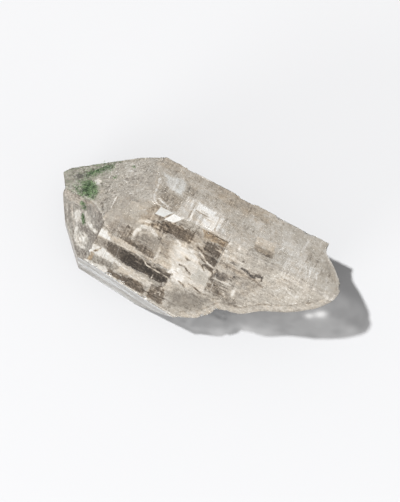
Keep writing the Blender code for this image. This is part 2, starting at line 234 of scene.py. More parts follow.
def unit(vectors: np.ndarray) -> np.ndarray:
    """The vectors, made one long."""
    return vectors / np.maximum(np.linalg.norm(vectors, axis=1, keepdims=True), 1e-12)


def area_normals(points: np.ndarray, faces: np.ndarray) -> np.ndarray:
    """The outward normal of each triangle, twice its area long."""
    corners = points[faces]
    return np.cross(corners[:, 1] - corners[:, 0], corners[:, 2] - corners[:, 0])


def point_normals(points: np.ndarray, faces: np.ndarray) -> np.ndarray:
    """The outward normal at each point: the sum of its triangles' area normals, made one long.

    Args:
        points: x, y and z of each point.
        faces: three point numbers for each triangle.

    Returns:
        x, y and z of each normal.
    """
    area = area_normals(points, faces)
    total = np.column_stack([
        np.bincount(faces.ravel(), np.repeat(area[:, i], 3), minlength=len(points)) for i in range(3)
    ])
    return unit(total)


def add_object(name: str, data: bpy.types.ID, place: Triple = (0.0, 0.0, 0.0),
               back: Triple | None = None) -> bpy.types.Object:
    """Makes an object and links it to the scene.

    Args:
        name: its name.
        data: its mesh, light or camera.
        place: where it stands, in metres.
        back: the direction in which its own z axis points, if it is turned.

    Returns:
        The object.
    """
    made = bpy.data.objects.new(name, data)
    made.location = place
    if back is not None:
        made.rotation_euler = Vector(back).to_track_quat("Z", "Y").to_euler()
    bpy.context.scene.collection.objects.link(made)
    return made


def mesh_piece(
    name: str,
    points: np.ndarray,
    faces: np.ndarray,
    material: bpy.types.Material,
    attributes: dict[str, np.ndarray],
    smooth: bool = True,
) -> bpy.types.Object:
    """Makes an object from points and faces, dresses it and lets it ride on the stone's one body.

    Args:
        name: the object's name.
        points: places in stone millimetres.
        faces: three or four point numbers for each face.
        material: its finish.
        attributes: one number for each point, by name; an array as long as all faces' corners is kept
            for each corner instead.
        smooth: whether faces are shaded as one surface.

    Returns:
        The object, at the origin, with its place in its mesh.
    """
    mesh = bpy.data.meshes.new(name)
    sides = faces.shape[1]
    mesh.vertices.add(len(points))
    mesh.vertices.foreach_set("co", ((points + ORIGIN) * MILLIMETRE).astype(np.float32).ravel())
    mesh.loops.add(faces.size)
    mesh.loops.foreach_set("vertex_index", faces.astype(np.int32).ravel())
    mesh.polygons.add(len(faces))
    mesh.polygons.foreach_set("loop_start", np.arange(0, faces.size, sides, dtype=np.int32))
    mesh.polygons.foreach_set("use_smooth", np.full(len(faces), smooth))
    mesh.update(calc_edges=True)
    for key, values in attributes.items():
        domain = "CORNER" if len(values) == faces.size and len(values) != len(points) else "POINT"
        mesh.attributes.new(key, "FLOAT", domain).data.foreach_set("value", values.astype(np.float32))
    mesh.materials.append(material)
    piece = add_object(name, mesh)
    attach(piece, BODY)
    log.info("%s: %d points, %d faces", name, len(points), len(faces))
    return piece


class Nodes:
    """Makes a node tree's nodes and joins them, one call for each node."""

    def __init__(self, tree: bpy.types.NodeTree) -> None:
        """Starts on a tree, cleared of its nodes."""
        self.tree = tree
        tree.nodes.clear()

    def join(self, source: bpy.types.NodeSocket | float | tuple, target: bpy.types.NodeSocket) -> None:
        """Links a socket to an input, or sets the input's own value.

        Args:
            source: a socket, or a plain value.
            target: the input.
        """
        if isinstance(source, bpy.types.NodeSocket):
            self.tree.links.new(source, target)
        else:
            target.default_value = source

    def add(self, kind: str, inputs: dict | None = None, **settings: object) -> bpy.types.Node:
        """Makes a node, sets it and joins its inputs.

        Args:
            kind: the node's type.
            inputs: a socket or value for each input, by name or number.
            settings: the node's own settings.

        Returns:
            The node.
        """
        node = self.tree.nodes.new(kind)
        for key, value in settings.items():
            setattr(node, key, value)
        for key, value in (inputs or {}).items():
            self.join(value, node.inputs[key])
        return node

    def math(self, operation: str, a: object, b: object = 0.0, clamp: bool = False) -> bpy.types.NodeSocket:
        """The answer of one sum of two numbers or sockets, held from 0 to 1 if it is clamped."""
        return self.add("ShaderNodeMath", {0: a, 1: b}, operation=operation, use_clamp=clamp).outputs[0]

    def weighted(self, a: object, a_weight: object, b: object, b_weight: object,
                 clamp: bool = False) -> bpy.types.NodeSocket:
        """Two numbers, each times its weight, added up."""
        return self.math("ADD", self.math("MULTIPLY", a, a_weight), self.math("MULTIPLY", b, b_weight), clamp)

    def spread(self, value: object, low: float, high: float, to_low: float = 0.0, to_high: float = 1.0,
               smooth: bool = True) -> bpy.types.NodeSocket:
        """Maps one range to another, held at its ends.

        Args:
            value: the number or socket.
            low: the value that gives to_low.
            high: the value that gives to_high.
            to_low: the lowest answer.
            to_high: the highest answer.
            smooth: an S-curve, not a straight line.

        Returns:
            The mapped number.
        """
        kind = "SMOOTHSTEP" if smooth else "LINEAR"
        inputs = {"Value": value, "From Min": low, "From Max": high, "To Min": to_low, "To Max": to_high}
        return self.add("ShaderNodeMapRange", inputs, interpolation_type=kind).outputs["Result"]

    def attribute(self, name: str) -> bpy.types.NodeSocket:
        """The number that the piece carries under a name."""
        return self.add("ShaderNodeAttribute", attribute_name=name).outputs["Fac"]

    def noise(self, size: Triple, detail: float, roughness: float = 0.55, distortion: float = 0.0,
              turn: float = 0.0) -> bpy.types.NodeSocket:
        """Cloudy noise about 0.5, laid by Object coordinates.

        Args:
            size: the length of one cloud along the stone, across it and up, in millimetres.
            detail: how many finer layers.
            roughness: how strong the finer layers are.
            distortion: how far the clouds are bent.
            turn: degrees that the pattern is turned about the vertical.

        Returns:
            The noise.
        """
        mapping = self.add("ShaderNodeMapping", {
            "Vector": self.add("ShaderNodeTexCoord").outputs["Object"],
            "Rotation": (0.0, 0.0, math.radians(turn)),
            "Scale": tuple(1.0 / MILLIMETRE / s for s in size),
        })
        inputs = {"Vector": mapping.outputs["Vector"], "Scale": 1.0, "Detail": detail, "Roughness": roughness,
                  "Distortion": distortion}
        return self.add("ShaderNodeTexNoise", inputs).outputs["Fac"]

    def blend(self, share: object, a: object, b: object) -> bpy.types.NodeSocket:
        """A colour between two.

        Args:
            share: 0 for the first, 1 for the second.
            a: the first colour or socket.
            b: the second colour or socket.

        Returns:
            The blended colour.
        """
        node = self.add("ShaderNodeMix", {0: share}, data_type="RGBA")
        for value, target in ((a, node.inputs[6]), (b, node.inputs[7])):
            self.join((*value, 1.0) if isinstance(value, tuple) else value, target)
        return node.outputs[2]

    def bump(self, height: bpy.types.NodeSocket, distance: float) -> bpy.types.NodeSocket:
        """A normal bent by a height from 0 to 1, where 1 stands for the distance in millimetres."""
        inputs = {"Height": height, "Distance": distance * MILLIMETRE, "Strength": 1.0}
        return self.add("ShaderNodeBump", inputs).outputs["Normal"]

    def finish(self, inputs: dict) -> None:
        """Makes the shader with its inputs, and shows it as the material's surface."""
        shader = self.add("ShaderNodeBsdfPrincipled", inputs)
        self.add("ShaderNodeOutputMaterial", {"Surface": shader.outputs[0]})


def new_material(name: str) -> tuple[bpy.types.Material, Nodes]:
    """Makes an empty material.

    Args:
        name: its name.

    Returns:
        The material and its nodes.
    """
    material = bpy.data.materials.new(name)
    material.use_nodes = True
    return material, Nodes(material.node_tree)


def new_group(name: str, inputs: dict[str, float], outputs: tuple[str, ...]) -> tuple[Nodes, bpy.types.Node]:
    """Makes a shared node group whose inputs and outputs are plain numbers.

    Args:
        name: its name.
        inputs: each input's value where none is given, by name.
        outputs: each output's name.

    Returns:
        The group's nodes, and the node that holds its inputs.
    """
    group = bpy.data.node_groups.new(name, "ShaderNodeTree")
    nodes = Nodes(group)
    for key, value in inputs.items():
        group.interface.new_socket(key, in_out="INPUT", socket_type="NodeSocketFloat").default_value = value
    for key in outputs:
        group.interface.new_socket(key, in_out="OUTPUT", socket_type="NodeSocketFloat")
    return nodes, nodes.add("NodeGroupInput")


def grain_group() -> bpy.types.NodeTree:
    """Builds the shared group for the fine etched grain of frosted quartz.

    It adds a fine cloud to the edges of small bent cells. Size is the grain's length in metres, Stretch
    makes it longer along the stone.

    Returns:
        The group, which puts out Height from 0 to 1.
    """
    nodes, given = new_group("etched_grain", {"Size": 0.0006, "Stretch": 1.0}, ("Height",))
    scale = nodes.math("DIVIDE", 1.0, given.outputs["Size"])
    along = nodes.math("DIVIDE", scale, given.outputs["Stretch"])
    sizes = nodes.add("ShaderNodeCombineXYZ", {0: along, 1: scale, 2: scale}).outputs[0]
    coordinates = nodes.add("ShaderNodeTexCoord").outputs["Object"]
    place = nodes.add("ShaderNodeVectorMath", {0: coordinates, 1: sizes}, operation="MULTIPLY").outputs[0]
    cloud = nodes.add("ShaderNodeTexNoise", {"Vector": place, "Scale": 1.3, "Detail": 3.0, "Distortion": 0.8})
    cell = nodes.add("ShaderNodeTexVoronoi", {"Vector": place, "Scale": 1.0}, feature="SMOOTH_F1")
    height = nodes.weighted(cloud.outputs["Fac"], 0.65, cell.outputs["Distance"], 0.35, clamp=True)
    nodes.add("NodeGroupOutput", {"Height": height})
    return nodes.tree


def fade_group() -> bpy.types.NodeTree:
    """Builds the shared group that gives a thin inner plane a ragged, fading rim.

    The rim attribute is the distance in from the plane's outline, in millimetres. Noise, stronger by
    Ragged, is taken from it, and the rest fades in over Soft.

    Returns:
        The group, which puts out Cover from 0 to 1.
    """
    nodes, given = new_group("ragged_rim", {"Soft": 0.5, "Ragged": 0.6}, ("Cover",))
    rough = nodes.noise((1.3, 0.8, 0.8), detail=4.0, roughness=0.65)
    bite = nodes.math("MULTIPLY", nodes.spread(rough, 0.3, 0.7, smooth=False), given.outputs["Ragged"])
    inside = nodes.math("SUBTRACT", nodes.attribute("rim"), bite)
    cover = nodes.math("DIVIDE", inside, given.outputs["Soft"], clamp=True)
    nodes.add("NodeGroupOutput", {"Cover": cover})
    return nodes.tree


@dataclass(frozen=True)
class QuartzFinish:
    """The clear, faintly warm quartz of the skin: glass with plain transmission, index and absorption."""

    tint: Colour = (0.99, 0.985, 0.975)
    clear_roughness: float = 0.05
    frost_roughness: float = 0.46
    refraction: float = 1.544
    inner_colour: Colour = (0.84, 0.80, 0.74)
    inner_density: float = 9.0
    lamp_share: Colour = (0.97, 0.965, 0.955)

    def build(self, grain: bpy.types.NodeTree) -> bpy.types.Material:
        """Builds the material.

        Args:
            grain: the shared grain group.

        Returns:
            The material.
        """
        material, nodes = new_material("clear_quartz_skin")
        frost = nodes.attribute("frost")
        fine = nodes.add("ShaderNodeGroup", {"Size": 0.00055, "Stretch": 1.4}, node_tree=grain)
        streaks = nodes.noise((0.35, 5.0, 5.0), detail=4.0, roughness=0.7)
        lines = nodes.noise((6.0, 0.35, 0.6), detail=3.0, roughness=0.6)
        relief = nodes.weighted(fine.outputs["Height"], 0.7, streaks, nodes.attribute("striation"))
        relief = nodes.weighted(relief, nodes.spread(frost, 0.0, 1.0, 0.12, 1.0), lines, 0.10)
        patchy = nodes.noise((3.5, 2.0, 2.0), detail=4.0, roughness=0.6)
        rough = nodes.math("MULTIPLY", frost, nodes.spread(patchy, 0.3, 0.7, 0.75, 1.1, smooth=False))
        rough = nodes.spread(rough, 0.0, 1.0, self.clear_roughness, self.frost_roughness, smooth=False)
        shader = nodes.add("ShaderNodeBsdfPrincipled", {
            "Base Color": (*self.tint, 1.0),
            "Roughness": rough,
            "IOR": self.refraction,
            "Transmission Weight": 1.0,
            "Normal": nodes.bump(relief, 0.10),
        })
        lamps = nodes.add("ShaderNodeBsdfTransparent", {"Color": (*self.lamp_share, 1.0)})
        path = nodes.add("ShaderNodeLightPath")
        mixed = nodes.add("ShaderNodeMixShader", {0: path.outputs["Is Shadow Ray"], 1: shader.outputs[0],
                                                  2: lamps.outputs[0]})
        inside = nodes.add("ShaderNodeVolumeAbsorption", {"Color": (*self.inner_colour, 1.0),
                                                          "Density": self.inner_density})
        nodes.add("ShaderNodeOutputMaterial", {"Surface": mixed.outputs[0], "Volume": inside.outputs[0]})
        return material


@dataclass(frozen=True)
class FrostFinish:
    """What the skin shows from just under it: frost, white healed cracks, dark patches that are partly smoky and
    partly painted shade, and painted light and shade on some faces.

    The tone attribute runs from -1, smoky black, over 0, plain frost, to 1, white. Grain, clouds, lines
    along and across the stone, pits and sparse painted glints are added to it, and the sum picks a colour.
    The cover attribute says how much of it shows.
    """

    tones: tuple[tuple[float, Colour], ...] = (
        (-1.0, (0.030, 0.024, 0.019)),
        (-0.5, (0.135, 0.112, 0.090)),
        (0.0, (0.455, 0.410, 0.350)),
        (0.5, (0.690, 0.657, 0.611)),
        (1.0, (0.932, 0.922, 0.904)),
    )
    amber: Colour = (1.05, 0.91, 0.74)
    cool: Colour = (0.94, 1.0, 1.06)
    moss: Colour = (0.165, 0.218, 0.125)
    # Each noise's strength, as a number or an attribute's name, and its size, detail, roughness, bend and turn
    noises: tuple[tuple[float | str, Triple, float, float, float, float], ...] = (
        (0.60, (6.0, 3.2, 3.2), 5.0, 0.65, 0.0, 0.0),
        ("grain", (0.85, 0.62, 0.62), 4.0, 0.75, 0.4, 12.0),
        ("striation", (0.32, 3.2, 3.2), 4.0, 0.7, 0.0, 0.0),
        ("lineation", (3.6, 0.30, 0.45), 4.0, 0.7, 0.0, 0.0),
        ("layers", (38.0, 38.0, 4.4), 3.0, 0.62, 0.0, 0.0),
    )
    painted_glint_share: float = 0.55
    pit_share: float = 0.45
    hue_share: float = 1.4
    deep_share: float = 0.55

    def build(self, grain: bpy.types.NodeTree) -> bpy.types.Material:
        """Builds the material.

        Args:
            grain: the shared grain group.

        Returns:
            The material.
        """
        material, nodes = new_material("frost")
        fine = nodes.add("ShaderNodeGroup", {"Size": 0.0005, "Stretch": 1.6}, node_tree=grain)
        tone = nodes.attribute("tone")
        for strength, *noise in self.noises:
            centred = nodes.math("SUBTRACT", nodes.noise(*noise), 0.5)
            amount = nodes.attribute(strength) if isinstance(strength, str) else strength
            tone = nodes.math("ADD", tone, nodes.math("MULTIPLY", centred, amount))
        # Painted glints: sparse bright specks where the sun would catch the frosted grain; the pits are darker grain
        painted_glint = nodes.spread(nodes.noise((0.34, 0.28, 0.28), detail=1.0, roughness=0.4), 0.66, 0.78)
        pit = nodes.spread(nodes.noise((0.55, 0.30, 0.30), detail=2.0, roughness=0.5, turn=7.0), 0.34, 0.25)
        glints_and_pits = nodes.weighted(painted_glint, self.painted_glint_share, pit, -self.pit_share)
        tone = nodes.math("ADD", tone, nodes.math("MULTIPLY", glints_and_pits, nodes.attribute("grain")))
        coloured = nodes.add("ShaderNodeValToRGB", {0: nodes.spread(tone, -1.0, 1.0, smooth=False)})
        ramp = coloured.color_ramp
        ramp.elements.remove(ramp.elements[1])
        for number, (at, colour) in enumerate(self.tones):
            element = ramp.elements[0] if number == 0 else ramp.elements.new((at + 1) / 2)
            element.position, element.color = (at + 1) / 2, (*colour, 1.0)
        base = coloured.outputs["Color"]
        hue = nodes.math("SUBTRACT", nodes.noise((2.6, 1.6, 1.6), detail=3.0, roughness=0.6, turn=-15.0), 0.5)
        warm = nodes.math("ADD", nodes.attribute("warm"), nodes.math("MULTIPLY", hue, self.hue_share))
        tint = nodes.blend(nodes.spread(warm, 0.0, 1.0, smooth=False), (1.0, 1.0, 1.0), self.amber)
        tint = nodes.blend(nodes.spread(warm, 0.0, -1.0, smooth=False), tint, self.cool)
        tinted = nodes.add("ShaderNodeMix", {0: 1.0, 6: base, 7: tint}, data_type="RGBA", blend_type="MULTIPLY")
        green = nodes.spread(nodes.noise((0.8, 0.6, 0.6), detail=4.0, roughness=0.7), 0.40, 0.62)
        green = nodes.math("MULTIPLY", green, nodes.attribute("moss"), clamp=True)
        base = nodes.blend(green, tinted.outputs[2], self.moss)
        deep = nodes.math("MULTIPLY", nodes.math("ABSOLUTE", tone), self.deep_share)
        holes = nodes.math("MULTIPLY", nodes.math("SUBTRACT", fine.outputs["Height"], 0.5), 0.5)
        cover = nodes.math("ADD", nodes.math("ADD", nodes.attribute("cover"), deep), holes, clamp=True)
        cover = nodes.math("MULTIPLY", cover, nodes.spread(nodes.attribute("cover"), 0.02, 0.25))
        lamps = nodes.add("ShaderNodeLightPath").outputs["Is Shadow Ray"]
        passed = nodes.math("MULTIPLY", lamps, nodes.attribute("passing"))
        cover = nodes.math("MULTIPLY", cover, nodes.math("SUBTRACT", 1.0, passed))
        nodes.finish({"Base Color": base, "Roughness": 0.75, "Specular IOR Level": 0.2, "Alpha": cover,
                      "Normal": nodes.bump(fine.outputs["Height"], 0.16)})
        return material


@dataclass(frozen=True)
class PlaneFinish:
    """A thin plane inside the stone: two colours in streaks, and how much of it shows."""

    name: str
    dark: Colour
    light: Colour
    streak: Triple = (2.6, 0.55, 0.55)
    least: float = 0.5
    soft: float = 0.35
    ragged: float = 0.7
    balance: float = 0.5

    def build(self, rim: bpy.types.NodeTree) -> bpy.types.Material:
        """Builds the material.

        Args:
            rim: the shared ragged rim group.

        Returns:
            The material.
        """
        material, nodes = new_material(self.name)
        cover = nodes.add("ShaderNodeGroup", {"Soft": self.soft, "Ragged": self.ragged}, node_tree=rim)
        streaks = nodes.noise(self.streak, detail=4.0, roughness=0.65, distortion=0.3)
        short = nodes.noise((0.9, 0.6, 0.6), detail=2.0, roughness=0.5)
        tone = nodes.weighted(streaks, 0.7, short, 0.3)
        low, high = self.balance - 0.10, self.balance + 0.14
        base = nodes.blend(nodes.spread(tone, low, high), self.dark, self.light)
        holes = nodes.spread(nodes.noise((1.6, 0.9, 0.9), detail=4.0, roughness=0.6), 0.36, 0.56, self.least)
        alpha = nodes.math("MULTIPLY", nodes.math("MULTIPLY", cover.outputs["Cover"], holes),
                           nodes.attribute("strength"), clamp=True)
        nodes.finish({"Base Color": base, "Roughness": 0.6, "Specular IOR Level": 0.3, "Alpha": alpha,
                      "Normal": nodes.bump(streaks, 0.15)})
        return material


@dataclass(frozen=True)
class ChloriteFinish:
    """Green chlorite: a darker and a lighter green, mixed by each flake's own number."""

    dark: Colour = (0.022, 0.052, 0.022)
    light: Colour = (0.27, 0.39, 0.20)

    def build(self) -> bpy.types.Material:
        """Builds the material.

        Returns:
            The material.
        """
        material, nodes = new_material("chlorite")
        fine = nodes.noise((0.25, 0.25, 0.25), detail=2.0)
        base = nodes.blend(nodes.weighted(nodes.attribute("shade"), 0.8, fine, 0.2), self.dark, self.light)
        nodes.finish({"Base Color": base, "Roughness": 0.65, "Normal": nodes.bump(fine, 0.05)})
        return material


@dataclass(frozen=True, kw_only=True)
class Mark(ABC):
    """A mark of the pattern, seen from above: x and y of each of its points, and what it sets.

    Tone, warm, cover, striation, lineation, moss and grain are as in the frost's finish. Busy is how
    strong dashes are on it. What is None stays as it was. Shift is added to the tone that is there.
    """

    points: tuple[float, ...] = field(kw_only=False)
    moss: float | None = None
    grain: float | None = None
    busy: float | None = None
    shift: float = 0.0

    @property
    @abstractmethod
    def room(self) -> float:
        """How far from its points the mark may still show."""

    @abstractmethod
    def share(self, plan: np.ndarray, bites: np.ndarray) -> np.ndarray:
        """How much of the mark is at each place, from 0 to 1."""

    @property
    def reach(self) -> tuple[np.ndarray, np.ndarray]:
        """The lowest and the highest corner of the plan box outside which the mark sets nothing."""
        points = pairs(self.points)
        return points.min(axis=0) - self.room, points.max(axis=0) + self.room


@dataclass(frozen=True)
class Patch(Mark):
    """A four-sided patch. Soft is how far it fades in from its outline, ragged how far noise moves that."""

    tone: float
    warm: float
    cover: float
    soft: float
    ragged: float
    striation: float | None = None
    lineation: float | None = None

    @property
    def room(self) -> float:
        """Its soft width and its raggedness."""
        return self.soft + self.ragged

    def share(self, plan: np.ndarray, bites: np.ndarray) -> np.ndarray:
        """How much of the patch is at each place.

        The distance in from the outline is the least of the distances to the four sides' lines. The
        noise is added, and the sum fades in over the soft width.

        Args:
            plan: x and y of each place.
            bites: noise from -1 to 1 for each place.

        Returns:
            A share from 0 to 1.
        """
        given = pairs(self.points)
        side = np.roll(given, -1, axis=0) - given
        area = (given[:, 0] * np.roll(given[:, 1], -1) - np.roll(given[:, 0], -1) * given[:, 1]).sum()
        away = plan[:, None, :] - given[None]
        inward = (side[:, 0] * away[..., 1] - side[:, 1] * away[..., 0]) / np.linalg.norm(side, axis=1)
        inward = (inward * np.sign(area)).min(axis=1)
        return smooth_step(inward + bites * self.ragged, -self.soft / 2, self.soft / 2)


@dataclass(frozen=True)
class Line(Mark):
    """A fine line through its points. Whole is how unbroken it is, soft the width over which its sides fade."""

    width: float
    tone: float | None
    warm: float | None = 0.0
    cover: float | None = 0.95
    whole: float = 0.78
    soft: float = 0.12

    @property
    def room(self) -> float:
        """Its width, its soft sides and a little more."""
        return self.width + self.soft + 0.1

    def share(self, plan: np.ndarray, bites: np.ndarray) -> np.ndarray:
        """How much of the line is at each place: 1 within half its width of the path, less further out.

        Args:
            plan: x and y of each place.
            bites: noise from -1 to 1 for each place, which makes the width uneven.

        Returns:
            A share from 0 to 1.
        """
        outside = path_distance(plan, self.points) - self.width * (0.5 + 0.35 * bites)
        return (1 - smooth_step(outside, -0.06, self.soft)) * np.clip(self.whole + 0.9 * bites, 0, 1)


@dataclass(frozen=True)
class ChloriteTuft:
    """A tuft of chlorite flakes round a path under a face: how wide it spreads and how many flakes."""

    face: Face
    path: tuple[float, ...]
    spread: float
    flakes: int


# The ledge between the two tip faces: x of some of its places, then y of each
LEDGE = ((4.2, 9.5, 14.6, 17.9, 21.2), (-4.9, -5.7, -6.3, -8.4, -11.2))
TUFTS = (
    ChloriteTuft(Face.TIP, (7.4, 0.5, 9.3, 2.2, 11, 4, 12.9, 5.9), 0.82, 2900),
    ChloriteTuft(Face.TIP, (8.8, -2, 10.2, -1.9, 11.6, -3), 1.20, 3600),
    ChloriteTuft(Face.TIP, (9.6, -3.2, 11, -3.8, 12, -4.6), 0.90, 2900),
    ChloriteTuft(Face.TIP, (12.4, -2.6, 13.4, -3.6, 13.6, -5), 0.65, 800),
    ChloriteTuft(Face.TIP, (6.6, -3.4, 8.4, -4.6, 10.2, -5.2), 0.5, 600),
    ChloriteTuft(Face.TIP, (15.7, 3, 16.3, 3.2), 0.25, 100),
    ChloriteTuft(Face.TIP, (19, 8.1, 19.4, 8.1), 0.25, 70),
    ChloriteTuft(Face.CLEAR, (10.9, -7.6, 11.9, -8.1, 12.9, -8.9), 0.3, 170),
    ChloriteTuft(Face.CLEAR, (13.1, -10.6, 13.6, -11.6, 14.6, -12.6), 0.26, 200),
)
# The patches, as if the stone were seen from above; later ones lie over earlier ones. The dark patches in
# the main face's window are partly smoky and partly painted shade, as the window shows the shade under the stone.
WINDOW_PATCHES = (
    Patch((20.4, -1, 31, -0.4, 29.6, -7.6, 20.2, -11.5), -0.14, -0.05, 0.88, 1.2, 0.9, 0.35, 0.3, grain=0.7,
          busy=0.25),
    Patch((22, -9, 29, -8.8, 28.8, -12.6, 21.6, -12), -0.34, 0.25, 0.85, 1.4, 1.1, striation=1),
    Patch((30.6, -0.2, 37, -0.2, 36, -6.2, 28.8, -6.4), -0.27, 0.45, 0.8, 0.8, 0.8),
    Patch((34.3, -5.8, 40.5, -5.8, 41, -9, 34.8, -9.4), -0.34, 0.35, 0.9, 1.6, 1.2),
    Patch((39.1, -0.1, 46.4, -0.1, 38.2, -3.2, 31, -5.2), -0.18, -0.15, 0.9, 0.5, 0.35),
    Patch((36.5, -2.3, 45.4, -1.9, 44.8, -5.6, 31.4, -6), -0.56, 0.45, 0.95, 1.2, 1.3, 0.8, 0.9),
    Patch((32.7, -0.2, 36.4, -0.2, 34.5, -2.2, 32, -2.5), 0.44, -0.9, 1, 0.10, 0.03, 0.1, 0.1, grain=0.1, busy=0),
    Patch((36.7, -0.3, 39.8, -0.2, 37.7, -2.3, 34.9, -2.7), 0.66, -0.30, 1, 0.10, 0.03, 0.1, 0.1, grain=0.1,
          busy=0),
    Patch((45.7, -0.1, 53.6, -0.1, 53.6, -1.8, 46.8, -2.1), -0.36, 1, 0.95, 0.35, 0.4, busy=0.6),
    Patch((44.6, -2, 48.8, -1.8, 48.8, -6, 44.2, -5.2), -0.14, 0.25, 0.85, 0.6, 0.8),
    Patch((29.8, -7.4, 36.4, -7.4, 37, -11.6, 29.4, -11.8), -0.33, -0.05, 0.9, 1.2, 0.8, 0.4, 0.3, grain=0.9,
          busy=0.3),
    Patch((28, -10.9, 36.8, -11.2, 37, -13.3, 27.8, -13.4), -0.53, 0.3, 0.95, 0.9, 0.8, 0.8, grain=0.8, busy=0.6),
    Patch((37.1, -6.4, 42, -6.2, 42.2, -12.8, 36.9, -12.9), -0.25, 0.20, 0.92, 0.6, 0.5, 0.5, 0.6, grain=1,
          busy=0.4),
    Patch((39.8, -5.8, 47, -5.6, 50, -9, 40, -10), 0.06, 0.15, 0.9, 1.4, 1.1, busy=0.6),
    Patch((40.5, -6.4, 53.5, -8.8, 53.2, -14.8, 42, -15.9), 0.20, 0.05, 0.92, 1.2, 1.1, grain=0.8, busy=0.5),
    Patch((41.3, -6.9, 45.8, -5.9, 49, -8.5, 42.9, -9.5), 0.44, 0, 1, 0.9, 1),
    Patch((43.7, -8.6, 53.3, -9.2, 52.9, -11, 43.4, -11.5), 0.26, 0, 1, 0.9, 1),
    Patch((42.6, -11.8, 47.4, -12.5, 46.6, -15.8, 41, -15.1), 0.56, 0, 1, 0.9, 1),
    Patch((49.6, -9.9, 53.4, -10.2, 53.2, -12.9, 48.3, -12.6), 0.04, -0.5, 0.95, 0.5, 0.4, 0.3, 0.3, grain=0.6,
          busy=0.1),
    Patch((37.2, -11.4, 42, -11.2, 42.6, -13.6, 37.1, -13.2), 0.10, 0.2, 0.9, 0.4, 0.4, busy=0.4),
    Patch((48.2, -2.3, 53.5, -2.1, 53.4, -5, 48.3, -4.8), -0.58, 0.15, 1, 0.4, 0.35),
    Patch((49, -5.4, 53.4, -5.5, 53.2, -7.6, 50, -7.2), -0.55, 0.15, 1, 0.25, 0.3),
    Patch((49.4, -7.9, 53.3, -7.8, 53.1, -8.9, 49.9, -8.8), -0.46, 0.15, 0.95, 0.2, 0.3),
    Patch((20.2, -11.9, 30.5, -12.6, 42, -13.4, 20.2, -14.4), 0.10, 0.3, 0.8, 0.4, 0.6),
    Patch((20.2, -12.2, 22.2, -12.2, 24.4, -14, 20.2, -14), 0.55, -0.2, 1, 0.35, 0.5),
    Patch((20.1, -14.6, 26, -14.3, 26, -16.6, 20, -16.5), -0.30, -0.1, 0.9, 0.5, 0.5),
    Patch((23.4, -14.2, 43.6, -14.1, 43.2, -17.5, 24.4, -17.2), -0.60, 0, 1, 0.8, 1),
    Patch((27.6, -14.5, 43, -15, 42.4, -17.4, 28.6, -17.4), -0.95, 0.05, 1, 0.9, 0.8, striation=1, grain=1.3),
    Patch((20, -16.7, 25.4, -16.7, 30.8, -18.4, 19.8, -19.1), 0.40, -0.35, 1, 0.3, 0.7),
    Patch((30, -17.7, 41, -18.1, 39.4, -19.8, 28.6, -20.2), 0.15, 0.1, 0.92, 0.5, 0.7),
    Patch((19.8, -19, 28, -18.9, 27.4, -21.2, 19.6, -21.4), -0.31, -0.55, 0.97, 0.5, 0.6, busy=0.6),
    Patch((20.4, -18.8, 21.6, -18.8, 21.5, -21.2, 20.2, -21.2), -0.26, 0.9, 0.97, 0.4, 0.3),
    Patch((20.1, -21, 25.7, -20.5, 29.3, -21.6, 21.8, -22), 0.27, -0.4, 1, 0.3, 0.6),
    Patch((27, -20.7, 36.9, -19.8, 39.4, -22.3, 26.6, -22.1), -0.66, 0.3, 1, 0.5, 0.6, 0.8, 1.6, grain=1.5),
    Patch((39.5, -19.2, 43.6, -17.9, 44.6, -22.3, 39.8, -22.5), -0.55, 0.25, 1, 0.6, 0.8, 0.8, 1.4, grain=1.5),
    Patch((43.2, -15.6, 49, -15.4, 47, -18, 43, -18.4), 0.08, 0.1, 0.92, 1.2, 1.2, busy=0.4),
    Patch((45.6, -17.2, 55.5, -15.2, 55, -19.4, 46.2, -22.4), -0.34, -0.3, 0.95, 2, 1, 0.2, 0.3, grain=0.6,
          busy=0.15),
    Patch((53.7, -7.5, 59.6, -7.5, 59.2, -14.4, 53.4, -13.4), -0.46, 0.1, 0.92, 0.7, 1, lineation=1.3),
    Patch((53.7, -5, 66, -5, 66, -6.2, 53.7, -6.4), -0.24, 0.35, 0.95, 0.8, 0.6),
    Patch((57.5, -6.7, 66, -6, 63, -13.6, 58.2, -15), -0.22, 0, 0.95, 1.2, 1.1),
    Patch((60.4, -9.8, 61.2, -9.8, 61.4, -12, 60.5, -12), 0.44, -0.1, 1, 0.7, 0.7),
    Patch((69, 0.6, 79, 0.6, 77, -4.2, 69.5, -4.6), 0.08, 0, 0.95, 3, 1.4),
)

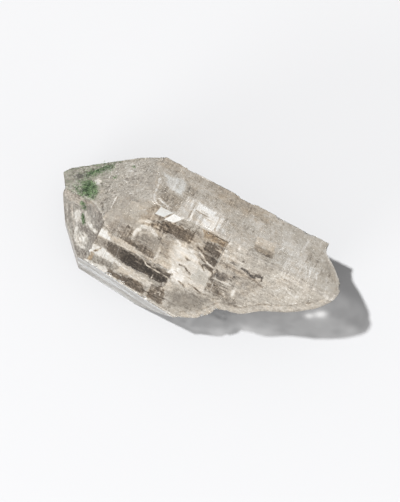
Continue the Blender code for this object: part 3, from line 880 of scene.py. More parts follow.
UPPER_PATCHES = (
    Patch((24.6, 11.6, 50, 11.8, 50, 15, 24.6, 15), -0.03, 0.1, 0.95, 2, 1),
    Patch((44, 9.6, 60, 10.4, 58, 14.6, 43, 14.6), -0.08, 0.25, 0.95, 2, 1.2),
    Patch((28.3, 9.6, 35.3, 10, 35.9, 5.8, 31.6, 5.3), 0.46, -0.5, 1, 0.9, 1, 0.4, 0.3),
    Patch((36, 6, 38.4, 6.2, 38.4, 10.4, 35.6, 10.2), -0.16, 0.1, 1, 1.3, 1.3),
    Patch((29.6, 6.6, 37, 5.2, 37.4, 0.2, 31.2, 0.3), -0.11, 0.15, 0.95, 0.9, 0.9),
    Patch((37.4, 6.8, 49.4, 6.6, 49.6, 0.2, 37.6, 0.2), 0.36, 0.05, 0.95, 0.7, 0.6, 1.2, 0.6, grain=0.7, busy=0.6),
    Patch((41.1, 6.4, 46.5, 6.2, 46.3, 4.1, 41.1, 4), 0.90, 0, 1, 0.35, 0.4, 0.5, 0.5, grain=0.4, busy=0.3),
    Patch((44.5, 4.8, 48.9, 5.4, 49.1, 0.3, 44.3, 0.3), 0.88, 0.1, 1, 0.6, 0.4, 1, 0.5, grain=0.5, busy=0.5),
    Patch((41.6, 3.4, 42.9, 3.4, 42.9, 0.5, 41.7, 0.5), 0.20, 0.1, 1, 0.3, 0.3, busy=0.3),
    Patch((50, 2.6, 59.6, 2.8, 59.7, 0.2, 50.2, 0.1), 0.28, 0.05, 1, 1.2, 0.8),
    Patch((59.6, 5.6, 64.8, 6.2, 66, 3.2, 59.9, 3.2), 0.27, 0.45, 0.95, 0.4, 0.4),
    Patch((60, 3.4, 66, 3.2, 66.2, 1.4, 60.2, 1.6), -0.18, 0.35, 0.95, 0.4, 0.4, busy=0.3),
    Patch((64.2, 3.3, 65.8, 3.1, 65.6, 1.7, 64.5, 1.8), -0.34, 0.2, 0.95, 0.5, 0.5),
    Patch((66.5, 9.2, 73.5, 8.8, 74.2, 5.6, 67, 5.8), 0.36, -0.1, 0.95, 1.8, 1.2),
    Patch((69.8, 6.4, 78.4, 6.2, 80, -1.4, 70, -1.6), 0.22, -0.05, 0.95, 3, 1.4, 1.4, 1.1, busy=0.7),
    Patch((72, -1, 82, 0, 78, -7, 70, -8), -0.02, -0.1, 0.95, 2.4, 1),
)

TIP_PATCHES = (
    Patch((6.4, 0.2, 8.4, 4.4, 13.4, 7.4, 11.6, 3.4), -0.20, -0.3, 0.7, 1, 0.6),
    Patch((5.2, -2.4, 11, 0.4, 13.6, -2, 12.4, -6), -0.15, -0.4, 0.7, 1, 0.6),
    Patch((10.9, -0.3, 11.4, 1.1, 13.1, 0.9, 12.8, -0.5), 0.55, 0, 1, 0.4, 0.4),
    Patch((4.6, -1, 4.9, 0.6, 7.4, 0.7, 6.8, -0.5), -0.78, -1, 0.97, 0.6, 0.5, moss=0.1),
    Patch((13.4, -1, 17, -1.4, 17.4, -6.6, 13.6, -5.8), -0.10, -0.1, 0.95, 1.2, 0.8),
)

CLEAR_PATCHES = (
    Patch((4.4, -5.4, 14.6, -6.6, 12, -8.8, 5, -7.6), -0.20, 0, 0.95, 0.8, 0.6),
    Patch((13.4, -12.4, 19.2, -13.6, 18.9, -15.8, 13.7, -14.8), -0.44, -0.6, 0.95, 0.7, 0.6, busy=0.5),
    Patch((15.2, -7.4, 20.4, -10, 20.1, -12.2, 16, -10.8), -0.42, -0.6, 1, 0.9, 0.7),
    Patch((17.4, -8.8, 20.4, -10.4, 20.1, -12.4, 17.8, -11.3), -0.44, -0.6, 1, 0.6, 0.6),
    Patch((18.5, -12.6, 20.2, -12.8, 19.9, -16.4, 18.8, -15.8), -0.50, -0.4, 1, 0.5, 0.4),
    Patch((10.5, -9.6, 12.4, -9.5, 13.3, -12.2, 11.5, -12.8), 0.06, -0.6, 1, 0.6, 1, busy=0.6),
    Patch((13, -9.6, 15.6, -10.2, 19.3, -13.4, 14.2, -12.4), -0.04, -0.6, 1, 0.6, 1.1, busy=0.8),
    Patch((13.6, -14.8, 16.6, -15, 18.4, -17.6, 15.2, -17.6), -0.34, -0.6, 0.95, 0.8, 0.7),
    Patch((11.8, -14.6, 14.6, -17.2, 17.4, -20.2, 15, -20), -0.54, -0.5, 0.95, 0.7, 0.5),
    Patch((15.4, -19, 19.4, -19.2, 19.4, -21, 16.6, -20.8), -0.46, -0.4, 0.95, 0.5, 0.5),
)

LINES = (
    Line((60, -4.4, 61.7, -4.5, 62.8, -4.9, 65, -4.4, 66.1, -4), 0.38, -0.95, 0.2),
    Line((62.6, -5, 63.4, -5.3, 64.4, -5), 0.36, -0.95, 0.2),
    Line((64.3, -4.2, 65, -3.9, 66, -4.2, 66.3, -4.9), 0.34, -0.85, 0.2),
    Line((62.8, -5.7, 64.4, -5.6, 67.3, -6.2), 0.45, -0.45, 0.4),
    Line((46.8, -4.9, 48.8, -5.6, 51.2, -6.1, 53.3, -6.4), 0.30, -0.70, 0.3),
    Line((47.6, -5.9, 49.2, -6.4, 50.4, -7.2, 53, -7.7), 0.26, 0.40, 0.1),
    Line((48.5, -6.9, 50.5, -7.6, 53.2, -8.9), 0.30, -0.66, 0.3),
    Line((48.7, -8.2, 49.8, -8.6, 51.1, -9.4), 0.26, -0.55, 0.3),
    Line((44.2, -11, 45.6, -10.8, 46.9, -11.5, 48, -11.9), 0.36, -0.75, 0.3),
    Line((44.6, -8.5, 45.5, -8.9, 46.3, -8.8), 0.45, -0.45, 0.2),
    Line((41.7, -7.6, 42.4, -6.6, 43.6, -6.3, 44.9, -6.6), 0.30, 0.30, 0.2),
    Line((41.2, -9.2, 42, -10, 43.6, -10.2), 0.30, 0.20, 0.3),
    Line((46, -14.9, 47.1, -15.1, 48.2, -15.6), 0.26, -0.6, 0.3),
    Line((43.5, -12.9, 45, -13.1, 46.8, -12.7, 48.9, -13), 0.26, -0.1, 0.2),
    Line((48.6, -14.3, 50.4, -14.4, 52.4, -14.9, 54.3, -14.7, 56.5, -14.6, 58.2, -14.1), 0.32, -0.6, 0.1),
    Line((22.4, -17, 21.4, -18, 20.5, -19.2), 0.45, -0.45, 0.8),
    Line((54.3, -3.3, 56.2, -3.2, 57.9, -3.3), 0.26, 0.42),
    Line((54.3, -3.8, 58.2, -3.9), 0.22, -0.3, 0.3),
    Line((54.3, -5.4, 58, -5.6, 61.1, -5.5), 0.26, -0.45, 0.3),
    Line((54.5, -8.5, 56.6, -8.3, 59.1, -8.5), 0.30, -0.65, 0.1),
    Line((54.1, -10, 56.8, -9.8, 59.4, -9.7), 0.24, 0.5, 0),
    Line((54.4, -12, 57, -11.6, 59.3, -11.5), 0.28, -0.55, 0.1),
    Line((25.5, -13.9, 31.6, -13.6, 34.4, -14, 36, -15.1, 42.7, -15.4), 0.24, 0.20, 0.2),
    Line((29.3, -9.5, 29.6, -8.2, 30.3, -7.1, 31.4, -6.4, 33.1, -6.4, 34.7, -7.2), 0.66, 0.46, 0, 0.95, whole=0.7,
         soft=0.5),
    Line((30.6, -8.9, 31.1, -8.1, 32.2, -7.5, 33.4, -7.8), 0.40, 0.10, 0, 0.9, whole=0.6, soft=0.5),
    Line((28.8, -6.6, 29.4, -5.7, 30.3, -5.2, 31.5, -5), 0.40, 0.38, 0, 0.9, whole=0.7, soft=0.4),
    Line((25.5, -8.5, 25.4, -10.2, 25.2, -12.1), 0.28, -0.62, 0.5),
    Line((26.6, -8.2, 26.5, -10.4, 26.3, -12.3), 0.30, -0.66, 0.4),
    Line((28, -9, 27.9, -11, 27.8, -12.6), 0.28, -0.58, 0.4),
    Line((26.8, -8.4, 27, -8.6), 0.50, -0.85, 0.3),
    Line((21.2, -11, 23.4, -11.9, 25.6, -12.3, 29.5, -12.6), 0.24, 0.14, 0.1, whole=0.5),
    Line((38.8, -16.2, 38.8, -17.4), 0.32, 0.35, 0),
    Line((41.6, -20.4, 42.4, -19.9, 42.9, -20.3), 0.30, 0.15, 0),
    Line((28.1, 7.4, 28.8, 4.8, 29.1, 2.7, 30, 0.8, 31.2, 0.1), 0.40, 0.58, -0.1, whole=0.85),
    Line((74.9, 4.9, 76, 3.2, 76.5, 1.2), 0.30, 0.60, -0.1, whole=0.7),
    Line((76.4, 4.6, 77.4, 2, 77.9, -0.6), 0.34, 0.66, -0.1, whole=0.75),
    Line((78.6, 4.2, 79.6, 2, 80.1, -0.6), 0.34, 0.62, -0.1, whole=0.7),
    Line((71.3, 4.2, 73, 4, 75, 4.1), 0.26, 0.50, -0.1),
    Line((71.7, 1.5, 73.2, 1.3, 74.9, 1.5), 0.26, 0.50, -0.1),
    Line((72.6, 3.8, 72.8, 1.8), 0.26, 0.50, -0.1),
    Line((74.2, 3.8, 74.4, 0.2), 0.26, 0.45, -0.1),
    Line((70, 5.9, 70.5, 4, 70.7, 1.6), 0.28, 0.45, -0.1),
    Line((71.9, 2.7, 73.8, 2.6), 0.26, -0.12, 0.1),
    Line((4.2, -4.7, 9.5, -5.5, 14.6, -6.1, 17.9, -8.2, 21.2, -11), 0.40, 0.32, 0),
    Line((5, -5.6, 9.5, -6.3, 14.4, -6.9, 17.2, -8.8), 0.30, -0.28, 0),
    Line((19.7, -2.3, 19.8, -4, 20, -5.9), 0.26, 0.55),
    Line((20.2, -2.3, 20.4, -5.8), 0.26, -0.25, 0.3),
    Line((17.3, -8.3, 18.4, -9, 19.2, -9.8), 0.45, -0.55, -0.1),
    Line((53.6, -0.2, 53.6, -8.8), 0.22, 0.16, 0.2, whole=0.5),
    Line((40.9, 3.8, 41.3, 0.3), 0.42, 1, 0.1, whole=1),
    Line((43.1, 3.5, 43.4, 0.3), 0.46, 1, 0.1, whole=1),
    Line((44, 3, 44.2, 0.4), 0.28, 0.15, 0.3, whole=0.9),
    Line((41.3, 3.85, 43.4, 3.7, 45.3, 3.75), 0.30, -0.10, 0.2, whole=0.95),
    Line((42.6, 4.5, 44.6, 4.45), 0.26, 0.25, 0.2, whole=0.9),
    Line((46.4, 4.2, 46.8, 0.6), 0.26, 0.6, 0.1),
    Line((48, 5.6, 48.6, 0.8), 0.28, 0.05, 0.3),
    Line((43.6, 3.2, 47.4, 3), 0.28, 0.20, 0.3),
    Line((37.8, 5.4, 40.6, 5.2), 0.28, 0.45, 0.1),
    Line((38.6, 5.9, 39.2, 0.6), 0.28, 0.35, 0.1),
    Line((40.2, 5.8, 40.6, 0.6), 0.26, -0.18, 0.2),
    Line((50.4, 5.4, 51.6, 1.6), 0.24, 0.5, 0.2),
    Line((49, 5.6, 49.3, 2.3), 0.30, 0.80, 0, whole=1),
    Line((39.3, 6.2, 39.6, 4), 0.34, 0.75, 0, whole=1),
    Line((37.6, 0.55, 44, 0.5, 53.2, 0.45), 0.26, 0.50, 0.15),
    Line((47.4, -0.25, 53.5, -0.3), 0.26, -0.60, 0.5),
    Line((19.7, -21.35, 27, -21.85, 34.6, -22.4, 42, -22.9, 49.4, -23.35), 0.28, 0.34, -0.2),
    Line((1.4, 0, 3, 1.3, 5.4, 3, 7.9, 4.5, 10.3, 5.9, 12.8, 7.4, 15.2, 8.6), 0.70, -0.42, -0.3, moss=0.8),
    Line((15.2, 8.6, 17.7, 9.6, 21, 12, 25.8, 13.8), 0.55, -0.30, 0, moss=0.3),
    Line((2.2, -3.2, 3.6, -4.4, 4.2, -6.5, 5.5, -9.3, 7.8, -12.7, 10.2, -15.9, 13.3, -19.1, 16.1, -21.3), 0.60,
         -0.38, -0.2),
    Line((6.9, -6.8, 9.3, -10.8, 12.3, -14.8, 15.3, -18), 0.34, -0.34, -0.2, whole=0.6),
    Line((7.6, -7.4, 10, -11.3, 12.9, -15, 15.9, -17.9), 0.26, -0.02, 0, whole=0.6),
    Line((5.8, -7.4, 8.2, -11.5, 11.1, -15.4, 14.6, -19.2), 0.26, -0.10, -0.2, whole=0.6),
    Line((13.1, -14.3, 13.5, -16.1, 15, -18, 17.6, -18.4), 0.60, 0.20, -0.5, whole=0.7, soft=0.4),
    Line((14.2, -15.2, 15.7, -15, 17.2, -15.6, 17.9, -16.7, 17.2, -17.5), 0.40, 0.16, -0.5, whole=0.7, soft=0.4),
    Line((15.4, -15.9, 16.5, -16.1, 16.8, -16.8, 15.9, -17, 15.3, -16.4), 0.34, 0.42, -0.4, whole=0.9, soft=0.3),
    Line((13.4, -10, 14.6, -11.6, 16.8, -12.6, 19, -13.6), 0.40, 0.40, -0.5, whole=0.7, soft=0.3),
    Line((14.4, -10, 16.2, -11.4, 18.6, -12.6), 0.30, -0.30, -0.4, whole=0.8),
    Line((37.3, -9.8, 37.4, -11, 37.3, -12.6), 0.34, 0.36, 0, whole=0.6, soft=0.3),
    Line((31.2, 1.75, 32.4, 1.25, 34.2, 0.95), 0.45, 0.90, 0.1, whole=1),
    Line((61.2, 1.7, 63, 1.5, 65.2, 1.6), 0.30, -0.42, 0.2),
    Line((20, -10.1, 19.9, -14, 19.5, -18.3), 0.30, -0.55, -0.3),
    Line((50, -21.6, 54, -19.5, 56.4, -17.1, 58.4, -14.8, 64.6, -13.3, 69, -10.2, 75.6, -7.4, 81.6, -3.5), 0.30,
         -0.34, 0.3, whole=0.6),
    Line((49.8, -22.5, 54.6, -20.3, 57, -17.9, 58.9, -15.6, 64.9, -14.1, 69.4, -11, 76, -8.2, 82.1, -4.2, 85,
         -0.8), 0.95, 0.02, 0, whole=0.62),
    # A pale line along the break's far top rim: a painted highlight where the thin edge catches the light
    Line((84.6, 5.3, 82.2, 8, 78.1, 11.1, 77.8, 13.5), 0.50, 0.36, 0),
    Line((85.2, -0.8, 85.3, 3.2, 81.5, 7.4, 77.4, 10.6), 0.30, -0.10, 0.1),
)


@dataclass(frozen=True)
class DashField:
    """Short dashes strewn over a part of the plan, as the edges of many small growth steps show.

    Heading is their mean direction in degrees from the stone's length, turn how much it varies, and
    contrast how far they shift the tone at most.
    """

    seed: int
    count: int
    x: Span
    y: Span
    heading: float
    contrast: float
    turn: float = 4.0
    length: float = 0.55
    widths: Span = (0.16, 0.36)
    dark_share: float = 0.5

    def lines(self) -> tuple[Line, ...]:
        """The dashes: each a line through a random middle, slightly bent, with a random length and tone.

        Returns:
            The dashes.
        """
        rng = np.random.default_rng(self.seed)
        middles = np.column_stack([rng.uniform(*self.x, self.count), rng.uniform(*self.y, self.count)])
        heading = np.radians(rng.normal(self.heading, self.turn, self.count))
        half = (rng.gamma(2.0, self.length, self.count) + 0.4) / 2
        ends = np.column_stack([np.cos(heading), np.sin(heading)]) * half[:, None]
        bends = rng.normal(0, 0.12, (self.count, 2))
        dark = rng.uniform(size=self.count) < self.dark_share
        tones = np.where(dark, -1.0, 1.0) * self.contrast * rng.uniform(0.35, 1.0, self.count)
        widths = rng.uniform(*self.widths, self.count)
        return tuple(
            Line((*(m - e), *(m + b), *(m + e)), w, None, None, None, shift=t)
            for m, e, b, w, t in zip(middles, ends, bends, widths, tones)
        )


DASH_FIELDS = (
    DashField(61, 190, (29.0, 60.0), (-21.5, -0.5), 0.0, 0.44, widths=(0.16, 0.34)),
    DashField(67, 120, (32.0, 60.0), (-20.5, -2.0), -14.0, 0.50, 14.0, 0.55, (0.16, 0.32)),
    DashField(62, 110, (54.0, 80.0), (-14.0, -0.5), 0.0, 0.30, 8.0, 0.8),
    DashField(68, 80, (54.0, 84.0), (-12.0, 6.0), 25.0, 0.28, 50.0, 0.35, dark_share=0.35),
    DashField(63, 180, (30.0, 83.0), (-0.5, 12.5), 92.0, 0.34),
    DashField(69, 90, (32.0, 84.0), (0.3, 13.0), 20.0, 0.30, 60.0, 0.30),
    DashField(64, 110, (20.5, 38.0), (-13.0, -1.0), 90.0, 0.36, dark_share=0.6),
    DashField(65, 130, (5.0, 19.5), (-20.5, -6.5), -52.0, 0.26, 9.0, 0.9, (0.14, 0.28)),
    DashField(66, 270, (5.0, 24.0), (-6.5, 12.0), 20.0, 0.42, 60.0, 0.25, (0.16, 0.30), 0.62),
    DashField(70, 60, (43.0, 56.0), (-22.0, -15.0), 30.0, 0.20, 40.0, 0.35),
    DashField(71, 60, (20.5, 30.0), (-12.0, -0.5), 0.0, 0.22, 12.0, 0.5),
)
# What a mark can set; the frost carries all of it but busy, which only weighs the dashes
SETTINGS = ("tone", "warm", "cover", "striation", "lineation", "moss", "grain", "busy")

# Where the beams that the stone gathers go in and come out: the place, the radius and the added share
BEAMS = (
    ((78.6, -1.5, 13.6), 2.0, 0.62), ((72.6, -2.1, 27.9), 1.6, 0.62),
    ((76.2, -3.5, 12.7), 1.4, 0.50), ((70.2, -4.1, 26.9), 1.0, 0.50),
    ((60.0, -15.3, 19.2), 3.0, 0.22), ((54.5, -19.8, 16.8), 2.5, 0.24), ((63.5, -13.1, 20.5), 2.5, 0.18),
)


# Where along the stone each change of the pattern starts and where it is full, in millimetres
SPANS = {
    "past_tip": (5.0, 21.0), "past_steep": (18.0, 24.0), "past_skirt_tip": (19.0, 27.0), "right": (48.0, 72.0),
    "smoother": (50.0, 58.0), "past_window": (52.0, 54.0), "far_ridge": (62.0, 68.0), "end": (72.0, 79.0),
    "rim": (81.5, 84.5),
}

# What each part of the stone adds to each number of the pattern, before the marks are laid; plain is everywhere
# The skirt, the break and the steep parts get a lighter tone as painted light, for the light that passes through the
# stone onto faces that the sun misses; rim darkens the break's top rim as painted shade over a bright rim
FIELDS = {
    "tone": {"plain": 0.08, "drift": 0.10, "skirt": 0.64, "broken": 0.70, "tip": -0.17, "near_tip": -0.12,
             "clear": -0.40, "right_upper": 0.04, "right_main": -0.07, "main": -0.15, "steep": 0.55,
             "steep_tip": -0.66, "skirt_tip": -0.25, "rim": -0.95, "end": -0.07},
    "warm": {"skirt": -0.35, "tip": -0.35, "clear": -0.75, "broken": -0.25, "right": -0.2, "steep": -0.2,
             "warmth": 0.1},
    "cover": {"plain": 0.92, "glassy": -0.37, "right": 0.2},
    "striation": {"plain": 0.20, "upper": 0.75, "main": 0.45},
    "lineation": {"plain": 0.20, "upper": 0.25, "main": 0.45, "clear": 0.75, "skirt": 0.6},
    "layers": {"skirt": 4.6, "steep": 0.5, "steep_tip": 0.8},
    "grain": {"plain": 1.1, "tip": 0.5, "near_tip": 1.0, "clear": 0.25, "skirt": -0.4},
    "frost": {"plain": 1.0, "glassy": -0.93},
}

# Boxes in plan where the frost's mesh is fine and where it is finest: x from and to, middle y and half width
FINE_BOXES = ((19.5, 54.5, -29.7, 30.0), (37.0, 50.0, 3.4, 3.4), (70.0, 80.5, 2.5, 3.5))
CRISP_BOXES = ((31.0, 40.5, -1.35, 1.65), (59.6, 66.8, -5.0, 1.25))

# The near side face: a point on it, degrees that it leans and turns, and how high its growth steps are at most
NEAR_SIDE = (19.5, -21.4, 16.94)
NEAR_SIDE_LEAN, NEAR_SIDE_TURN, NEAR_SIDE_STEP = 3.3, 4.5, 0.22
LONG_FACE_STEP = 0.38


@dataclass(frozen=True)
class Pattern:
    """All the frost's marks, laid over each other in order."""

    marks: tuple[Mark, ...] = (
        *WINDOW_PATCHES, *UPPER_PATCHES, *TIP_PATCHES, *CLEAR_PATCHES,
        *(line for dashes in DASH_FIELDS for line in dashes.lines()), *LINES,
    )

    def laid(self, plan: np.ndarray, bites: np.ndarray) -> tuple[dict[str, np.ndarray], dict[str, np.ndarray]]:
        """How much of the plain frost is left at each place, and what the marks put there.

        A mark with a share leaves the rest of what was there, and adds that share of its own value.

        Args:
            plan: x and y of each place.
            bites: noise from -1 to 1 for each place.

        Returns:
            Both, by the setting's name.
        """
        order = np.argsort(plan[:, 0])
        along = plan[order, 0]
        left = {key: np.ones(len(plan)) for key in SETTINGS}
        put = {key: np.zeros(len(plan)) for key in SETTINGS}
        for mark in self.marks:
            low, high = mark.reach
            near = order[slice(*np.searchsorted(along, (low[0], high[0])))]
            near = near[(plan[near, 1] > low[1]) & (plan[near, 1] < high[1])]
            share = mark.share(plan[near], bites[near])
            for key in SETTINGS:
                value = getattr(mark, key, None)
                if value is not None:
                    left[key][near] *= 1 - share
                    put[key][near] += (value - put[key][near]) * share
            busy = left["busy"][near] + put["busy"][near]
            put["tone"][near] += mark.shift * share * busy
        return left, put


@dataclass
class CrystalSkin:
    """The stone's outer skin and the frost under it, both on the solid's own shape."""

    cut_pitch: float = 1.10
    cut_spans: tuple[Span, Span] = ((-0.3, 87.5), (-23.1, 15.0))
    skin_edge: float = 0.7
    crisp_edge: float = 0.22
    window_edge: float = 0.33
    top_edge: float = 0.45
    plain_edge: float = 0.65
    rest_edge: float = 1.7
    grain_height: float = 0.025
    striation_height: float = 0.030
    frost_depth: float = 0.05
    window_start: Span = (27.0, 30.5)
    window_end: Span = (53.5, 53.7)
    window_low: Span = (8.5, 12.0)

    def read(self) -> Mesh:
        """Takes a merged copy of the stone's solid, with its faint growth steps laid flat and flat parts joined.

        The copy is cut by upright planes at an even pitch, so that its triangles are near in size.

        Returns:
            Its points in stone millimetres and its triangles.
        """
        shape = bmesh.new()
        shape.from_mesh(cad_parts["crystal"].data)
        bmesh.ops.remove_doubles(shape, verts=shape.verts, dist=MERGE_DISTANCE)
        points = np.array([v.co for v in shape.verts]) / MILLIMETRE - ORIGIN
        for vertex, place in zip(shape.verts, (self.eased(points) + ORIGIN) * MILLIMETRE):
            vertex.co = place
        bmesh.ops.dissolve_limit(shape, angle_limit=math.radians(FLAT_ANGLE), verts=shape.verts,
                                 edges=shape.edges)
        for axis, (first, last) in zip(np.eye(3), self.cut_spans):
            for place in np.arange(first, last, self.cut_pitch):
                bmesh.ops.bisect_plane(shape, geom=[*shape.verts, *shape.edges, *shape.faces], dist=CUT_TOLERANCE,
                                       plane_co=Vector((place + ORIGIN) * MILLIMETRE), plane_no=Vector(axis))
        bmesh.ops.triangulate(shape, faces=shape.faces, ngon_method="BEAUTY")
        copy = bpy.data.meshes.new("crystal_copy")
        shape.to_mesh(copy)
        shape.free()
        points = np.zeros(len(copy.vertices) * 3)
        copy.vertices.foreach_get("co", points)
        faces = np.zeros(len(copy.polygons) * 3, dtype=np.int32)
        copy.polygons.foreach_get("vertices", faces)
        bpy.data.meshes.remove(copy)
        return points.reshape(-1, 3) / MILLIMETRE - ORIGIN, faces.reshape(-1, 3).astype(np.int64)

    def veil_limit(self, places: np.ndarray) -> np.ndarray:
        """The longest edge that the frost may have at each place: short where the pattern is fine.

        Args:
            places: x, y and z of each place.

        Returns:
            A length for each, in millimetres.
        """
        x, y, z = places.T
        top = z > 28.6 - 0.62 * np.abs(y) - 0.9 * np.maximum(29.4 - x, 0)
        edge = np.where(top, np.where((y > 7.0) & (x > 20.0), self.plain_edge, self.top_edge), self.rest_edge)
        for boxes, fine_edge in ((FINE_BOXES, self.window_edge), (CRISP_BOXES, self.crisp_edge)):
            for start, end, middle, half in boxes:
                edge = np.where(top & (x > start) & (x < end) & (np.abs(y - middle) < half), fine_edge, edge)
        return edge

    def clearness(self, points: np.ndarray, corner: np.ndarray, main: np.ndarray, side: np.ndarray) -> np.ndarray:
        """How clear the stone is: full in the window on the main face and high on the clear tip face.

        The window starts past a wavy line near the tip and ends at a straight growth line. On its lower
        side it starts earlier, and goes on weakly past that line.

        Args:
            points: x, y and z of each point.
            corner: the point number of each corner.
            main: 1 at the corners on the main face, 0 elsewhere.
            side: 1 at the corners on the clear tip face, 0 elsewhere.

        Returns:
            A share from 0 to 1.
        """
        x, y, _ = points[corner].T
        wave = 1.2 * lattice_noise(points * 0.45, 3)[corner]
        start = smooth_step(x + wave + 0.9 * np.maximum(y + 11.0, 0), *self.window_start)
        start = np.maximum(start, smooth_step(-y, 10.5, 12.5))
        beyond = smooth_step(x, *self.window_end)
        low = smooth_step(wave - y, *self.window_low)
        window = start * (1 - beyond * (1 - 0.45 * low)) * (1 - 0.8 * smooth_step(x + wave, 60.0, 63.0))
        return np.clip(main * window + side * 0.85, 0, 1)

    def masks(self, points: np.ndarray, faces: np.ndarray) -> dict[str, np.ndarray]:
        """The pattern at each corner of each triangle.

        A face is known by how near a triangle's normal is to its own; skirt is what faces the near side,
        broken what faces the break, and steep the other upright parts. Each field is the sum of their
        shares times their weights. The skirt, the break and the steep parts get a lighter tone, painted light
        for the light that passes through the stone onto faces that the sun misses, and the break's top rim a
        darker one, painted shade over a bright rim. The marks are laid only on what faces up, and the ridge
        past the window is darkened last with painted shade that offsets the sun's glint on it. Passing is the
        share of the lamps' light that the frost lets through.

        Args:
            points: x, y and z of each point.
            faces: three point numbers for each triangle.

        Returns:
            One number for each corner, by the attribute's name.
        """
        normal, corner = np.repeat(unit(area_normals(points, faces)), 3, axis=0), faces.ravel()
        x, _, z = points[corner].T
        up = smooth_step(normal[:, 2], 0.30, 0.42)
        along = {name: smooth_step(x, *span) for name, span in SPANS.items()}
        shares = {face.name.lower(): smooth_step(normal @ face.normal, 0.94, 0.985) for face in Face}
        skirt, broken = smooth_step(-normal[:, 1], 0.85, 0.97), smooth_step(normal[:, 0], 0.25, 0.5)
        steep = (1 - smooth_step(normal[:, 2], 0.05, 0.35)) * (1 - skirt) * (1 - broken)
        near_tip = shares["tip"] * (1 - along["past_tip"])
        shares |= {
            "plain": 1.0, "skirt": skirt, "broken": broken, "steep": steep, "near_tip": near_tip,
            "glassy": self.clearness(points, corner, shares["main"], shares["clear"]),
            "steep_tip": steep * (1 - along["past_steep"]),
            "skirt_tip": skirt * (1 - along["past_skirt_tip"]),
            "rim": broken * along["rim"] * smooth_step(z, 17.0, 23.0),
            "end": along["end"] * (1 - broken),
            "right": along["right"],
            "right_upper": along["right"] * shares["upper"],
            "right_main": along["right"] * shares["main"],
            "drift": lattice_noise(points * 0.16, 41)[corner],
            "warmth": lattice_noise(points * 0.2, 43)[corner],
        }
        fields = {name: sum(weight * shares[part] for part, weight in weights.items())
                  for name, weights in FIELDS.items()}
        fields["striation"] *= 1 - 0.5 * along["smoother"]
        fields["moss"] = np.maximum(self.mossy(points)[corner], 0.45 * near_tip)
        bites = (0.6 * lattice_noise(points * np.array([0.9, 1.5, 1.5]), 51)
                 + 0.4 * lattice_noise(points * np.array([2.4, 3.4, 3.4]), 52))
        left, put = Pattern().laid(points[:, :2], bites)
        for key in set(SETTINGS) & set(fields):
            fields[key] = fields[key] * (1 - up * (1 - left[key][corner])) + up * put[key][corner]
        # Painted shade along the ridge past the window, which offsets the sun's glint on its rounded top
        painted_ridge_shade = smooth_step(normal[:, 2], 0.93, 0.98) * along["past_window"]
        fields["tone"] -= painted_ridge_shade * (0.18 + 0.06 * along["far_ridge"])
        return {**fields, "passing": self.passing(points)[corner]}

    @staticmethod
    def passing(places: np.ndarray) -> np.ndarray:
        """The share of the lamps' light that the frost lets through: small on the far side, more on the near one.

        It is less again at the far end behind the ridge. Bell-shaped rises stand where the beams that the
        stone gathers go in and where they leave.

        Args:
            places: x, y and z of each point.

        Returns:
            A share from 0 to 1.
        """
        x, y = places[:, 0], places[:, 1]
        near = 0.33 + 0.07 * smooth_step(x, 55.0, 70.0) + 0.16 * layered_noise(places * 0.45, 91)
        near -= 0.16 * smooth_step(x, 75.5, 81.5) * smooth_step(y, -2.0, 1.0)
        share = 0.12 + near * smooth_step(-y, -8.5, -4.5) + 0.06 * smooth_step(-y, 9.0, 14.0)
        for place, radius, gain in BEAMS:
            away = np.linalg.norm(places - np.array(place), axis=1)
            share += gain * np.exp(-((away / radius) ** 2))
        return np.clip(share, 0, 1)

    @staticmethod
    def mossy(place: np.ndarray) -> np.ndarray:
        """How green the stone is: high near the chlorite tufts' paths, fading out round them.

        Args:
            place: x, y and z of each point.

        Returns:
            A share from 0 to 1.
        """
        total = np.zeros(len(place))
        near = np.flatnonzero(place[:, 0] < 22.0)
        for tuft in TUFTS:
            distance = path_distance(place[near, :2], tuft.path)
            total[near] = np.maximum(total[near], np.exp(-((distance / (1.5 * tuft.spread)) ** 2)))
        return total

    @staticmethod
    def eased(points: np.ndarray) -> np.ndarray:
        """The solid's points with the growth steps of three long faces laid flat, as they show only faintly.

        A point within a short distance of the main, the upper or the near side face's plane is moved onto it.

        Args:
            points: x, y and z of each point.

        Returns:
            The moved points.
        """
        moved = points.copy()
        for face, side in ((Face.MAIN, -1.0), (Face.UPPER, 1.0)):
            off = (moved - face.point) @ face.normal
            near = (np.abs(off) < LONG_FACE_STEP) & (moved[:, 1] * side > -0.05) & (moved[:, 0] > 20.0)
            near &= np.abs(moved[:, 1]) < 21.0
            moved[near] -= off[near, None] * face.normal
        lean, turn = math.radians(NEAR_SIDE_LEAN), math.radians(NEAR_SIDE_TURN)
        along, across, up = (moved - NEAR_SIDE).T
        off = math.sin(lean) * up - math.cos(lean) * (across + along * math.tan(turn))
        near = (np.abs(off) < NEAR_SIDE_STEP) & (moved[:, 0] > 18.0)
        moved[near, 1] += off[near] / math.cos(lean)
        return moved

    @staticmethod
    def with_ridge(points: np.ndarray) -> np.ndarray:
        """The points with the ridge brought up to a soft roof past the window, and the far corner leaned in.

        The roof falls from the ridge by the faces' slope times the root of the squared distance across
        plus a small squared radius. The lift to it ends before the break's rim. The break's far corner
        moves in by a share of the depth under its top.

        Args:
            points: x, y and z of each point.

        Returns:
            The moved points.
        """
        x, y, z = points.T
        radius = 0.5 + 0.7 * smooth_step(x, 56.0, 80.0)
        roof = RIDGE_HEIGHT - FACE_SLOPE * np.sqrt(y * y + radius**2)
        near = smooth_step(x, 52.5, 54.5) * (1 - smooth_step(np.abs(y), 2.2, 4.4)) * smooth_step(z, 26.0, 27.2)
        lift = np.clip(roof - z, -0.4, 0.9) * near * (1 - smooth_step(x, 82.5, 85.0))
        corner = smooth_step(y, 10.8, 12.6) * smooth_step(x, 73.0, 77.0)
        inward = 0.13 * np.maximum(21.8 - z, 0) * corner
        return np.column_stack([x - inward, y, z + lift])

